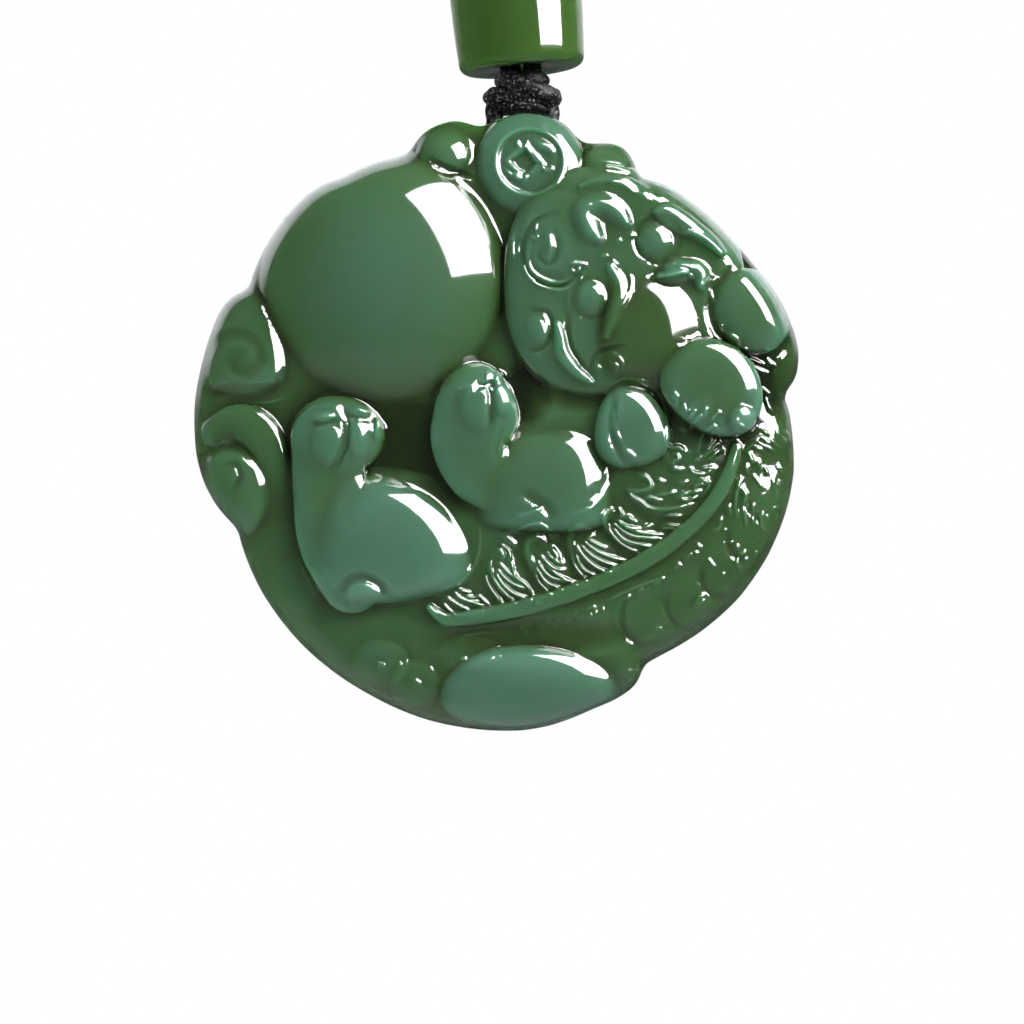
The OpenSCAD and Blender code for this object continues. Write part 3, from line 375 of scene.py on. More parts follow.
# Engraved lines, in chart cells. Columns: half width, drop, then the points
GROOVES = (
    (0.9, 4.5, (38.8, 26.2), (36.4, 24.4), (34.8, 21.8), (34.4, 18.8), (35.4, 15.6), (37.6, 13.4)),
    (0.8, 5, (-25, 4.4), (-24.4, 1.6), (-24.2, -1.4), (-25.2, -4.6), (-26.8, -7.4)),
    (0.7, 4, (-20.4, 3), (-20, 0.4), (-20.4, -2.4)), (0.6, 3, (-30, 0.4), (-27.6, 0.7), (-25.4, 1.2)),
    (0.6, 3, (-24, 1.9), (-22.2, 1.5), (-20.4, 1.3)),
    (0.8, 5, (-0.6, 9.2), (-0.9, 6.4), (-0.8, 3.4), (-1, 0.4)),
    (0.6, 3, (-6.4, 5.4), (-4.4, 6), (-1.6, 6.9), (1.2, 7.4)),
    (1.4, 2, (2.2, 2.6), (1.4, -0.4), (0.8, -3.4), (1.2, -6)),
    (1.2, 5, (4.2, -10.2), (6.2, -11.6), (8.2, -13), (9.4, -14.6)),
    (1.6, 2, (-20.6, -5.2), (-22.2, -8.6), (-23.6, -12.4), (-24, -15.6)),
    (1, 6, (-25.4, -26.6), (-24, -24.8), (-21.6, -24), (-19.2, -25), (-17, -27.2)),
    (1.3, 4, (-47.4, 12.4), (-45, 14.6), (-41.6, 15.2), (-38.8, 13.6), (-38.2, 10.8), (-40, 9),
      (-42.2, 9.4), (-43, 11), (-41.8, 12)),
    (1, 5, (-46.8, 5.6), (-43.6, 6.6), (-40, 6.6), (-36.6, 6.4)),
    (0.8, 5, (-47, -4.4), (-44.6, -3.2), (-41.6, -3.4), (-39.4, -5.4)),
    (0.7, 4, (-44.2, -6.2), (-42.4, -5.8), (-41.4, -7.6), (-42.4, -10)),
    (0.6, 5, (-11.6, 44.2), (-9.2, 42.8), (-6.5, 41.8), (-3.8, 40.8)),
    (0.6, 3, (20.8, -27.4), (20.3, -30.6), (21.3, -33.6), (24, -35.1), (27.4, -34.2)),
    (0.6, 3, (27.9, -26), (27.5, -29), (28.8, -31.6), (31.4, -32.4), (34.6, -31)),
    (0.6, 3, (33.4, -22.4), (33.3, -25), (35, -27), (37.6, -27.4)),
    (0.6, 3, (37.6, -17), (38, -20), (40, -21.6)), (0.5, 3, (41.2, -11), (41.4, -13.6), (43, -15.4)),
    (0.6, 2.6, (29.6, 30.5), (29.2, 32.6), (27.4, 34), (25, 34), (23, 32.6), (22.4, 30.4), (23.2, 28.2),
      (25.4, 26.8), (27.8, 27), (29.4, 28.6), (29.6, 30.5)),
    (0.6, 2.6, (18.2, 21.4), (17.2, 23.4), (15, 24.2), (12.9, 23), (12.2, 20.8), (13.2, 18.6),
      (15.4, 17.8), (17.4, 18.8), (18.2, 21.4)),
    (0.7, 5, (11.4, 17.4), (11.4, 15), (12, 12.8), (13.2, 10.8), (14.6, 8.8)),
    (0.7, 4, (20.6, 13.4), (18.6, 13), (16.4, 12.4), (15.2, 10.4), (15.6, 8)),
    (0.6, 4, (9.6, 34.6), (6.2, 33.4), (4.4, 30.6), (4.2, 27), (5.6, 24.4), (8.2, 23), (11, 23),
      (13.2, 24.6)),
    (0.5, 3, (9.4, 31.6), (9.8, 29.4), (9.4, 27.2), (8, 26.4), (6.8, 27.6), (7, 29.4)),
    (0.5, 3, (24.6, 25), (27, 25.4), (30, 25.8), (32, 25)),
    (0.7, 4, (18.6, 41.4), (22, 41), (24.6, 39.8), (26, 38)),
    (0.6, 4, (5.4, 19), (8, 18.6), (8.8, 16.4), (8.2, 13.8), (6.2, 12.6), (4, 13.6)),
    (0.9, 4, (19.2, 5.4), (18.6, 2.4), (18.6, -1), (20, -4.4), (23, -7)),
)


class Graph:
    """A material's or a world's nodes, added one by one."""

    def __init__(self, owner: bpy.types.Material | bpy.types.World) -> None:
        """Turn the owner's nodes on."""
        owner.use_nodes = True
        self.nodes, self.links = owner.node_tree.nodes, owner.node_tree.links

    def fill(self, node: bpy.types.Node, inputs: dict) -> None:
        """Give a node's inputs their constants, or link them to another node's output.

        Args:
            node: The node.
            inputs: Constants and outputs for its inputs, by name or number.
        """
        for name, value in inputs.items():
            if isinstance(value, Socket):
                self.links.new(value, node.inputs[name])
            else:
                node.inputs[name].default_value = value

    def add(self, kind: str, inputs: dict | None = None) -> bpy.types.Node:
        """Add a node.

        Args:
            kind: The node's type, without the word Shader and the word Node.
            inputs: Constants and outputs for its inputs, by name or number.

        Returns:
            The node.
        """
        node = self.nodes.new("ShaderNode" + kind)
        self.fill(node, inputs or {})
        return node

    def math(self, operation: str, *terms: float | Socket) -> Socket:
        """Add a Math node and give its result.

        Args:
            operation: What it works out, such as ADD.
            terms: Constants and outputs that it takes, in order.

        Returns:
            The result.
        """
        node = self.add("Math", dict(enumerate(terms)))
        node.operation = operation
        return node.outputs[0]

    def object_place(self) -> Socket:
        """Give the object coordinates."""
        return self.add("TexCoord").outputs["Object"]

    def noise(self, place: Socket, scale: float, detail: float, rough: float) -> Socket:
        """Add a noise pattern and give its value."""
        inputs = {"Vector": place, "Scale": scale, "Detail": detail, "Roughness": rough}
        return self.add("TexNoise", inputs).outputs["Fac"]

    def ramp(self, share: Socket, stops: tuple) -> Socket:
        """Turn a share into a colour by way of stops, each a place and a colour.

        Args:
            share: The output that is turned into a colour.
            stops: Places from 0 to 1, each with its colour.

        Returns:
            The colour.
        """
        node = self.add("ValToRGB", {"Fac": share})
        elements = node.color_ramp.elements
        while len(elements) < len(stops):
            elements.new(0.5)
        for element, (at, colour) in zip(elements, stops):
            element.position = at
            element.color = (*colour, 1)
        return node.outputs["Color"]

    def bump(self, height: Socket, strength: float, distance: float) -> Socket:
        """Turn a pattern into small waves of the surface, their height in metres."""
        inputs = {"Strength": strength, "Distance": distance, "Height": height}
        return self.add("Bump", inputs).outputs["Normal"]

    def step(self, value: Socket, low: float, high: float, top: float = 1) -> Socket:
        """Go smoothly from 0 where a value is low to the top where it is high.

        Args:
            value: The output that is stepped.
            low: Where the result is 0.
            high: Where the result reaches the top.
            top: The result at its highest.

        Returns:
            The result.
        """
        inputs = {"Value": value, "From Min": low, "From Max": high, "To Min": 0, "To Max": top}
        node = self.add("MapRange", inputs)
        node.interpolation_type = "SMOOTHSTEP"
        return node.outputs[0]


@dataclass(frozen=True)
class StoneFinish:
    """Polished stone, its tones from painted shade in the creases to painted light on the tops."""

    name: str
    slot: Slot
    tones: tuple[tuple[float, tuple[float, float, float]], ...]
    attribute: str | None
    roughness: float = 0.07
    ior: float = 1.62
    subsurface: float = 1.0
    colour_spread: tuple[float, float, float] = (0.35, 1.0, 0.5)
    spread: float = 0.004
    middle_tone: float = 0.5
    cloud: float = 0.25
    cloud_noise: tuple[float, float, float] = (90, 5, 0.6)
    wave_noise: tuple[float, float, float] = (420, 2, 0.5)
    wave_strength: float = 0.12
    wave_height: float = 0.00002

    def material(self) -> bpy.types.Material:
        """Build the material, its pattern on object coordinates and the piece's attribute of painted shade
        and light.

        Returns:
            The material.
        """
        made = bpy.data.materials.new(self.name)
        graph = Graph(made)
        place = graph.object_place()
        base = self.middle_tone - self.cloud / 2
        # The piece's attribute carries painted shade in the creases and painted light on the tops
        if self.attribute:
            tone = graph.add("Attribute")
            tone.attribute_name = self.attribute
            base = graph.math("SUBTRACT", tone.outputs["Fac"], self.cloud / 2)
        share = graph.math("MULTIPLY_ADD", graph.noise(place, *self.cloud_noise), self.cloud, base)
        waves = graph.noise(place, *self.wave_noise)
        graph.fill(graph.nodes["Principled BSDF"], {
            "Base Color": graph.ramp(share, self.tones),
            "Roughness": self.roughness,
            "IOR": self.ior,
            "Subsurface Weight": self.subsurface,
            "Subsurface Radius": self.colour_spread,
            "Subsurface Scale": self.spread,
            "Normal": graph.bump(waves, self.wave_strength, self.wave_height),
        })
        return made


@dataclass(frozen=True)
class CordFinish:
    """Black braided nylon with a faint sheen and painted glints on its fibres."""

    name: str = "braided_nylon"
    colour: tuple[float, float, float] = (0.0014, 0.0014, 0.0016)
    # Painted glints: light grey specks on the fibres' noise stand in for light glinting off the fibres
    glint: tuple[float, float, float] = (0.13, 0.13, 0.14)
    glint_from: float = 0.56
    glint_to: float = 0.72
    roughness: float = 0.5
    specular: float = 0.12
    fibre_noise: tuple[float, float, float] = (5200, 3, 0.7)
    fibre_strength: float = 0.5
    fibre_height: float = 0.00004

    def material(self) -> bpy.types.Material:
        """Build the material, with fine fibres and their painted glints on object coordinates.

        Returns:
            The material.
        """
        made = bpy.data.materials.new(self.name)
        graph = Graph(made)
        fibres = graph.noise(graph.object_place(), *self.fibre_noise)
        # Painted glints where the fibres' noise is high
        stops = ((self.glint_from, self.colour), (self.glint_to, self.glint))
        graph.fill(graph.nodes["Principled BSDF"], {
            "Base Color": graph.ramp(fibres, stops),
            "Roughness": self.roughness,
            "Specular IOR Level": self.specular,
            "Normal": graph.bump(fibres, self.fibre_strength, self.fibre_height),
        })
        return made


def deselect() -> None:
    """Leave nothing selected."""
    if bpy.context.mode != "OBJECT":
        bpy.ops.object.mode_set(mode="OBJECT")
    bpy.ops.object.select_all(action="DESELECT")


def select_only(first: bpy.types.Object, *others: bpy.types.Object) -> None:
    """Select these objects alone and make the first active.

    Args:
        first: The object that becomes active.
        others: Further objects to select.
    """
    deselect()
    for obj in (first, *others):
        obj.select_set(True)
    bpy.context.view_layer.objects.active = first


def join(first: bpy.types.Object, *others: bpy.types.Object) -> None:
    """Join objects to the first."""
    select_only(first, *others)
    bpy.ops.object.join()


def points_of(obj: bpy.types.Object) -> np.ndarray:
    """Read a mesh's points, one row of three numbers for each.

    Args:
        obj: The mesh's object.

    Returns:
        The points in order.
    """
    flat = np.empty(3 * len(obj.data.vertices))
    obj.data.vertices.foreach_get("co", flat)
    return flat.reshape(-1, 3)


def set_points(obj: bpy.types.Object, points: np.ndarray) -> None:
    """Write a mesh's points back."""
    obj.data.vertices.foreach_set("co", np.ascontiguousarray(points, dtype=np.float64).ravel())
    obj.data.update()


def set_tone(obj: bpy.types.Object, tone: np.ndarray | float) -> None:
    """Keep a tone for each point with the mesh; on the relief it is painted shade and painted light."""
    values = np.full(len(obj.data.vertices), tone, dtype=np.float32)
    obj.data.attributes.new("tone", "FLOAT", "POINT").data.foreach_set("value", values)


def numbers_of(items: bpy.types.bpy_prop_collection, name: str) -> np.ndarray:
    """Read one whole number of every item, such as each loop's point.

    Args:
        items: The mesh's faces or corners.
        name: Name of the number.

    Returns:
        The numbers in order.
    """
    made = np.empty(len(items), dtype=int)
    items.foreach_get(name, made)
    return made


def mark(items: bpy.types.bpy_prop_collection, chosen: np.ndarray) -> None:
    """Select the mesh's items with these numbers alone.

    Args:
        items: The mesh's points, edges or faces.
        chosen: Numbers of those to select.
    """
    flags = np.zeros(len(items), dtype=bool)
    flags[chosen.ravel()] = True
    items.foreach_set("select", flags)


def apply_modifiers(obj: bpy.types.Object) -> None:
    """Apply an object's modifiers in their order.

    Args:
        obj: The object.
    """
    select_only(obj)
    for name in [modifier.name for modifier in obj.modifiers]:
        bpy.ops.object.modifier_apply(modifier=name)


def settle(scale: Vector | tuple = (1, 1, 1)) -> bpy.types.Object:
    """Scale the new primitive and move its place, turn and scale into its mesh.

    Args:
        scale: Scale along each axis.

    Returns:
        The primitive.
    """
    made = bpy.context.active_object
    made.scale = scale
    select_only(made)
    bpy.ops.object.transform_apply(location=True, rotation=True, scale=True)
    return made


def ring_surface(name: str, rings: list, material: bpy.types.Material, open_ends: bool) -> bpy.types.Object:
    """Make a smooth closed surface through rings of points.

    Args:
        name: Name of the piece.
        rings: The rings in order, in millimetres, each with as many points.
        material: The surface's material.
        open_ends: Whether the first and the last ring are apart and have to be filled.

    Returns:
        The piece, its faces outwards.
    """
    net = np.array(rings, dtype=float)
    sides = net.shape[1]
    deselect()
    bpy.ops.mesh.primitive_grid_add(x_subdivisions=sides, y_subdivisions=len(net) - 1, size=2)
    made = bpy.context.active_object
    made.name = name
    set_points(made, np.hstack([net, net[:, :1]]).reshape(-1, 3) * MM)
    bpy.ops.object.mode_set(mode="EDIT")
    bpy.ops.mesh.select_all(action="SELECT")
    bpy.ops.mesh.remove_doubles(threshold=WELD)
    if open_ends:
        bpy.ops.mesh.select_all(action="DESELECT")
        bpy.ops.mesh.select_non_manifold()
        bpy.ops.mesh.fill_holes(sides=sides + 2)
        bpy.ops.mesh.select_all(action="SELECT")
    bpy.ops.mesh.normals_make_consistent(inside=False)
    bpy.ops.object.mode_set(mode="OBJECT")
    bpy.ops.object.shade_smooth()
    made.data.materials.append(material)
    return made


def smooth_line(points: np.ndarray, step: float) -> np.ndarray:
    """Run a smooth line through chosen points.

    Args:
        points: The points in order, one row each, with any number of columns.
        step: Rough distance between the made points, in the unit of the first columns.

    Returns:
        The made points, the first and the last being the given ones.
    """
    pts = np.array(points, dtype=float)
    if len(pts) == 2:
        count = max(2, int(np.linalg.norm(pts[1, :2] - pts[0, :2]) / step) + 1)
        t = np.linspace(0, 1, count)[:, None]
        return pts[0] * (1 - t) + pts[1] * t
    padded = np.vstack([2 * pts[0] - pts[1], pts, 2 * pts[-1] - pts[-2]])
    made = []
    for a, b, c, d in zip(padded, padded[1:], padded[2:], padded[3:]):
        count = max(2, int(np.linalg.norm(c[:2] - b[:2]) / step) + 1)
        for t in np.linspace(0, 1, count, endpoint=False):
            bend = (2 * a - 5 * b + 4 * c - d) * t**2 + (3 * b - a - 3 * c + d) * t**3
            made.append(0.5 * (2 * b + (c - a) * t + bend))
    return np.array([*made, pts[-1]])


def fade(value: np.ndarray, low: float, high: float) -> np.ndarray:
    """Step smoothly from 0 at low to 1 at high."""
    t = np.clip((value - low) / (high - low), 0, 1)
    return t * t * (3 - 2 * t)


def turned(x: np.ndarray, z: np.ndarray, degrees: float) -> tuple[np.ndarray, np.ndarray]:
    """Measure places along axes that are turned anticlockwise."""
    c, s = math.cos(math.radians(degrees)), math.sin(math.radians(degrees))
    return x * c + z * s, z * c - x * s


@dataclass
class Relief:
    """The carving's front as a depth over the chart, in hundredths of the front's depth."""

    ground_rim: float = 36
    ground_swell: float = 28
    fall: float = 0.00026
    rim_blur: tuple[float, ...] = (-1.2, -0.6, 0.0, 0.6, 1.2)
    sharp_edge: float = 0.75
    soft_edge: float = 1.5
    oval_margin: float = 1.1
    pit_edge: float = 1.3
    line_step: float = 0.5
    limb_step: float = 0.6
    shortest: float = 1e-12
    line_end: float = 0.35
    line_taper: float = 4
    groove_share: float = 0.6
    dot_reach: float = 0.42
    dot_rise: float = 1.3
    # The hollows' painted shade falls in full below the first depth and fades out by the second
    shaded_below: tuple[float, float] = (60, 72)
    # The coin: its middle, the ring's and the field's radii, the square hole's middle, turn and sizes
    coin: tuple[float, float] = (5.3, 43.3)
    coin_reach: float = 7
    coin_ring: float = 5.5
    coin_field: tuple[float, float] = (4.6, 5.6)
    coin_field_drop: float = 2.5
    coin_lip_rise: float = 1.8
    coin_lip_half: float = 0.5
    hole_shift: tuple[float, float] = (0.8, 0.2)
    hole_turn: float = 38
    hole_edge: tuple[float, float] = (1.2, 1.7)
    hole_drop: float = 3
    hole_frame: float = 2.1
    # The tone, painted shade in the creases and painted light on the tops: distances, number and first
    # direction of the places that each is compared with, then what the tone is worked out from
    tone_rings: tuple[float, ...] = (1.4, 3.2)
    tone_places: int = 8
    tone_start: float = 20
    tone_ground: float = 0.52
    tone_step: float = 26
    tone_depth: float = 62
    tone_range: float = 150

    def reach(self, x: np.ndarray, z: np.ndarray) -> np.ndarray:
        """Give the rim's reach, in cells, in the direction of each place.

        Args:
            x: Places across.
            z: Places up.

        Returns:
            Distances from the middle to the rim.
        """
        angle = np.degrees(np.arctan2(z, x)) % 360
        at, far = np.array(OUTLINE, dtype=float).T
        return sum(np.interp((angle + turn) % 360, at, far) for turn in self.rim_blur) / len(self.rim_blur)

    def blend_in(self, near: np.ndarray, level: np.ndarray, fillet: float, tint: float) -> None:
        """Join a form to the depths so far, the higher of the two with a small fillet between.

        Args:
            near: Numbers of the places under the form.
            level: The form's depth there.
            fillet: Height over which the form blends with what is round it.
            tint: How much lighter the form is coloured.
        """
        before = self.depths[near]
        self.tint_and_shade[near] += (tint - self.tint_and_shade[near]) * fade(level - before, -fillet, fillet)
        blend = np.maximum(fillet - np.abs(before - level), 0) / fillet
        self.depths[near] = np.maximum(before, level) + blend * blend * fillet / 4

    def under_oval(self, row: tuple, plan: float = 2) -> tuple[np.ndarray, np.ndarray]:
        """Find the places under a rounded form.

        Args:
            row: The form's place, four reaches and turn.
            plan: Squareness of its outline.

        Returns:
            The numbers of the places, and how far out of the form each lies, from 0 to 1.
        """
        cx, cz, right, up, left, down, turn = row
        size = self.oval_margin * max(right, up, left, down)
        near = np.flatnonzero((np.abs(self.x - cx) < size) & (np.abs(self.z - cz) < size))
        a, b = turned(self.x[near] - cx, self.z[near] - cz, turn)
        a, b = np.abs(a / np.where(a > 0, right, left)), np.abs(b / np.where(b > 0, up, down))
        share = (a**plan + b**plan) ** (1 / plan)
        return near[share < 1], share[share < 1]

    def under_line(self, line: np.ndarray) -> tuple:
        """Find the places under a line.

        Args:
            line: Its points: place across, place up, half width and any further columns.

        Returns:
            The numbers of the places, the share of the half width at which each lies, how far along
            each lies from 0 to 1, and the half width and the further columns there.
        """
        margin = line[:, 2].max()
        low, high = line[:, :2].min(0) - margin, line[:, :2].max(0) + margin
        inside = (self.x > low[0]) & (self.x < high[0]) & (self.z > low[1]) & (self.z < high[1])
        near = np.flatnonzero(inside)
        x, z = self.x[near], self.z[near]
        best = np.full(len(near), np.inf)
        other = np.zeros((len(near), line.shape[1] - 2))
        run = np.zeros(len(near))
        for i, (a, b) in enumerate(zip(line, line[1:])):
            d = b[:2] - a[:2]
            t = np.clip(((x - a[0]) * d[0] + (z - a[1]) * d[1]) / max(d @ d, self.shortest), 0, 1)
            mixed = a[2:] * (1 - t[:, None]) + b[2:] * t[:, None]
            share = np.hypot(x - a[0] - t * d[0], z - a[1] - t * d[1]) / mixed[:, 0]
            closer = share < best
            best[closer], other[closer] = share[closer], mixed[closer]
            run[closer] = ((i + t) / (len(line) - 1))[closer]
        return near[best < 1], best[best < 1], run[best < 1], other[best < 1]

    def form(self, *row: float) -> None:
        """Raise one large rounded form, given by a row of FORMS.

        Args:
            row: Its columns, as FORMS has them.
        """
        cx, cz, right, up = row[:4]
        top, steep, square, tint, fillet, falls = row[7:]
        square, plan = square if isinstance(square, tuple) else (square, 2)
        near, share = self.under_oval(row[:7], plan)
        rise = steep * (right + up) / 2 * CELL / DEPTH
        level = top - rise + rise * (1 - share**square) ** (1 / square)
        level -= falls * self.fall * (np.hypot(self.x[near], self.z[near]) ** 3 - math.hypot(cx, cz) ** 3)
        self.blend_in(near, level, fillet, tint)

    def limb(self, steep: float, square: float, tint: float, fillet: float, points: tuple) -> None:
        """Raise one limb, given by a row of LIMBS.

        Args:
            steep: How steeply its sides fall.
            square: Squareness of its section.
            tint: How much lighter it is coloured.
            fillet: Height over which it blends with what is round it.
            points: Place across and up, half width and height of each point.
        """
        near, share, _, other = self.under_line(smooth_line(points, self.limb_step))
        rise = steep * other[:, 0] * CELL / DEPTH
        level = other[:, 1] - rise + rise * (1 - share**square) ** (1 / square)
        self.blend_in(near, level, fillet, tint)

    def feature(self, *row: float) -> None:
        """Raise one small feature on the forms under it, given by a row of FEATURES.

        Args:
            row: Its columns, as FEATURES has them.
        """
        rise, square = row[7:]
        near, share = self.under_oval(row[:7])
        self.depths[near] += rise * (1 - share**square) ** self.sharp_edge

    def band(self, rise: float, square: float, points: tuple) -> None:
        """Raise one band on the forms under it, given by a row of BANDS.

        Args:
            rise: Height above what is under it.
            square: Squareness of its section.
            points: Place across and up and half width of each point.
        """
        near, share, _, _ = self.under_line(smooth_line(points, self.line_step))
        edge = self.sharp_edge if square > 2 else self.soft_edge
        self.depths[near] += rise * (1 - share**square) ** edge

    def line(self, width: float, rise: float, points: list) -> None:
        """Add a fine raised line, or an engraved one where the rise is negative.

        Args:
            width: Half width, in cells.
            rise: Height above what is under it.
            points: Place across and up of each point.
        """
        line = smooth_line(points, self.line_step)
        near, share, run, _ = self.under_line(np.hstack([line, np.full((len(line), 1), width)]))
        ends = np.minimum(1, self.line_end + self.line_taper * np.minimum(run, 1 - run))
        self.depths[near] += rise * ends * (1 - share**2)

    def pits(self) -> np.ndarray:
        """Sink the places between the forms, and give the painted shade of each place.

        Returns:
            The painted shade of each place; below 0 it is painted light.
        """
        shade = np.zeros_like(self.x)
        for cx, cz, length, width, turn, drop, dark in PITS:
            a, b = turned(self.x - cx, self.z - cz, turn)
            hollow = fade((a / length) ** 2 + (b / width) ** 2, self.pit_edge, 0)
            self.depths -= drop * hollow
            # Painted shade in each hollow, or painted light where dark is below 0
            shade += dark * hollow
        return shade

    def lip(self, away: np.ndarray) -> np.ndarray:
        """Give the rise of a thin lip of the coin, from the distance to its middle line."""
        return self.coin_lip_rise * np.clip(1 - (away / self.coin_lip_half) ** 2, 0, 1)

    def coin_marks(self) -> None:
        """Carve the coin's raised ring, its sunken field and the square hole at its middle."""
        dx, dz = self.x - self.coin[0], self.z - self.coin[1]
        r = np.hypot(dx, dz)
        rise = self.lip(r - self.coin_ring) - self.coin_field_drop * (1 - fade(r, *self.coin_field))
        a, b = turned(dx + self.hole_shift[0], dz + self.hole_shift[1], self.hole_turn)
        square = np.maximum(np.abs(a), np.abs(b))
        rise += self.lip(square - self.hole_frame) - self.hole_drop * (1 - fade(square, *self.hole_edge))
        self.depths += np.where(r < self.coin_reach, rise, 0)

    def depth(self, x: np.ndarray, z: np.ndarray, fine: bool = True) -> np.ndarray:
        """Work out the front's depth at places of the chart, and keep the tints and painted shade there.

        Args:
            x: Places across, in cells.
            z: Places up, in cells.
            fine: Whether the fine lines are added.

        Returns:
            The depth of each place, before the rim's rounding.
        """
        self.x, self.z = x, z
        share = np.hypot(x, z) / self.reach(x, z)
        self.depths = self.ground_rim + self.ground_swell * (1 - share**4)
        self.tint_and_shade = np.zeros_like(x)
        shade = self.pits()
        steps = ((FORMS, self.form), (LIMBS, self.limb), (FEATURES, self.feature), (BANDS, self.band))
        for rows, carve in steps:
            for row in rows.values():
                carve(*row)
        # Painted shade in the hollows, on the low places only
        self.tint_and_shade -= shade * (1 - fade(self.depths, *self.shaded_below))
        self.coin_marks()
        for width, drop, *points in GROOVES:
            self.line(width, -self.groove_share * drop, points)
        if fine:
            for width, rise, *points in LINES:
                self.line(width, rise, points)
            for cx, cz in DOTS:
                away = np.hypot(x - cx, z - cz) / self.dot_reach
                self.depths += self.dot_rise * np.clip(1 - away * away, 0, 1)
        return self.depths

    def tone(self, x: np.ndarray, z: np.ndarray, depth: np.ndarray) -> np.ndarray:
        """Work out each place's painted shade and light, from how far it stands out and from its form's
        tint.

        Args:
            x: Places across.
            z: Places up.
            depth: Depths there, worked out just before.

        Returns:
            A share from 0, painted shade in a crease, to 1, painted light on a top.
        """
        # The forms' tints, with the hollows' painted shade
        tint = self.tint_and_shade
        apart = 360 / self.tone_places
        turns = [math.radians(apart * k + self.tone_start) for k in range(self.tone_places)]
        places = [(x + r * math.cos(a), z + r * math.sin(a)) for r in self.tone_rings for a in turns]
        around = sum(self.depth(*place, fine=False) for place in places) / len(places)
        # Painted shade where a place lies below what is round it, painted light where it stands out or lies
        # high
        tone = self.tone_ground + (depth - around) / self.tone_step
        tone += (depth - self.tone_depth) / self.tone_range
        return np.clip(tone + tint, 0, 1)


@dataclass
class JadeCarving:
    """The round carving: its relief front, its domed back and the lug behind the coin."""

    front_rings: tuple[int, int] = (54, 12)
    back_rings: tuple[int, int] = (26, 8)
    rim_share: float = 0.09
    back_depth: float = 8.1
    back_edge: float = 0.52
    back_inset: float = 0.9995
    back_tone: float = 0.62
    ear_back: float = 1.5
    ear_edge: float = 0.9
    # Where the back is cut away behind the coin and the ears: up, on the left and on the right
    cut_up: tuple[float, float] = (31.5, 38.5)
    cut_left: tuple[float, float] = (-18, -11)
    cut_right: tuple[float, float] = (22, 29)
    lug_radius: float = 2.3
    lug_down: float = 4.2
    lug_front: float = 2.1
    lug_root: float = 0.5
    lug_sides: int = 64
    lug_edge: float = 0.25
    lug_edge_steps: int = 3
    lug_tone: float = 0.5
    bore_radius: float = 0.95
    bore_sides: int = 48
    bore_past: float = 1
    # How many faces are divided in each round, and where each face is tried
    refinements: tuple[int, ...] = (6300, 7500, 5700)
    trials: tuple = (
        (0.5, 0.5), (0.25, 0.25), (0.75, 0.25), (0.25, 0.75), (0.75, 0.75), (0.5, 0.02), (0.02, 0.5),
    )
    relief: Relief = field(default_factory=Relief)

    def ring_share(self, place: np.ndarray, inner: int, rim: int) -> np.ndarray:
        """Turn ring numbers into shares of the way to the rim, closer together on the rim's rounding.

        Args:
            place: Shares of all the rings, from 0 to 1.
            inner: Rings over the flat part.
            rim: Rings over the rim's rounding.

        Returns:
            Shares of the way to the rim.
        """
        k = place * (inner + rim)
        flat = (1 - self.rim_share) * k / inner
        rounded = 1 - self.rim_share * (1 - np.sin(np.clip((k - inner) / rim, 0, 1) * math.pi / 2))
        return np.where(k <= inner, flat, rounded)

    def disc(self, name: str, inner: int, rim: int) -> bpy.types.Object:
        """Make a grid whose square rings follow the carving's outline.

        Args:
            name: Name of the piece.
            inner: Rings over the flat part.
            rim: Rings over the rim's rounding.

        Returns:
            The grid, its points in chart cells across and up.
        """
        cuts = 2 * (inner + rim)
        bpy.ops.mesh.primitive_grid_add(x_subdivisions=cuts, y_subdivisions=cuts, size=2)
        made = bpy.context.active_object
        made.name = name
        u, v = points_of(made)[:, :2].T
        size = np.maximum(np.abs(u), np.abs(v))
        wide = np.abs(u) >= np.abs(v)
        lead = np.where(wide, u, v)
        part = math.pi / 4 * np.where(wide, v, u) / np.where(lead == 0, 1, lead)
        sideways = np.where(u < 0, math.pi, 0) + part
        upwards = np.where(v < 0, -math.pi / 2, math.pi / 2) - part
        angle = np.where(wide, sideways, upwards)
        across, up = np.cos(angle), np.sin(angle)
        reach = self.relief.reach(across, up) * self.ring_share(size, inner, rim)
        set_points(made, np.stack([reach * across, reach * up, np.zeros(len(u))], 1))
        return made

    def refine(self, piece: bpy.types.Object, count: int) -> None:
        """Divide the faces that follow the relief worst.

        Args:
            piece: The front's grid, still flat.
            count: How many faces are divided.
        """
        mesh = piece.data
        points = points_of(piece)
        depth = self.relief.depth(points[:, 0], points[:, 1])
        quads = np.flatnonzero(numbers_of(mesh.polygons, "loop_total") == 4)
        loops = numbers_of(mesh.polygons, "loop_start")[quads][:, None] + np.arange(4)
        corners = numbers_of(mesh.loops, "vertex_index")[loops]
        bend = np.zeros(len(quads))
        for u, v in self.trials:
            shares = np.array([(1 - u) * (1 - v), u * (1 - v), u * v, (1 - u) * v])
            inside = np.einsum("k,nkd->nd", shares, points[corners])
            there = self.relief.depth(inside[:, 0], inside[:, 1])
            bend = np.maximum(bend, np.abs(there - depth[corners] @ shares))
        worst = np.argsort(-bend)[:count]
        edges = numbers_of(mesh.loops, "edge_index")[loops[worst]]
        select_only(piece)
        mark(mesh.polygons, quads[worst])
        mark(mesh.edges, edges)
        mark(mesh.vertices, corners[worst])
        bpy.ops.object.mode_set(mode="EDIT")
        bpy.ops.mesh.select_mode(type="EDGE")
        bpy.ops.object.mode_set(mode="OBJECT")
        mark(mesh.edges, edges)
        bpy.ops.object.mode_set(mode="EDIT")
        bpy.ops.mesh.subdivide(number_cuts=1)
        bpy.ops.object.mode_set(mode="OBJECT")

    def cut_share(self, x: np.ndarray, z: np.ndarray) -> np.ndarray:
        """Give how far the back is cut away behind the coin and the ears, 0 to 1."""
        return fade(z, *self.cut_up) * fade(x, *self.cut_left) * (1 - fade(x, *self.cut_right))

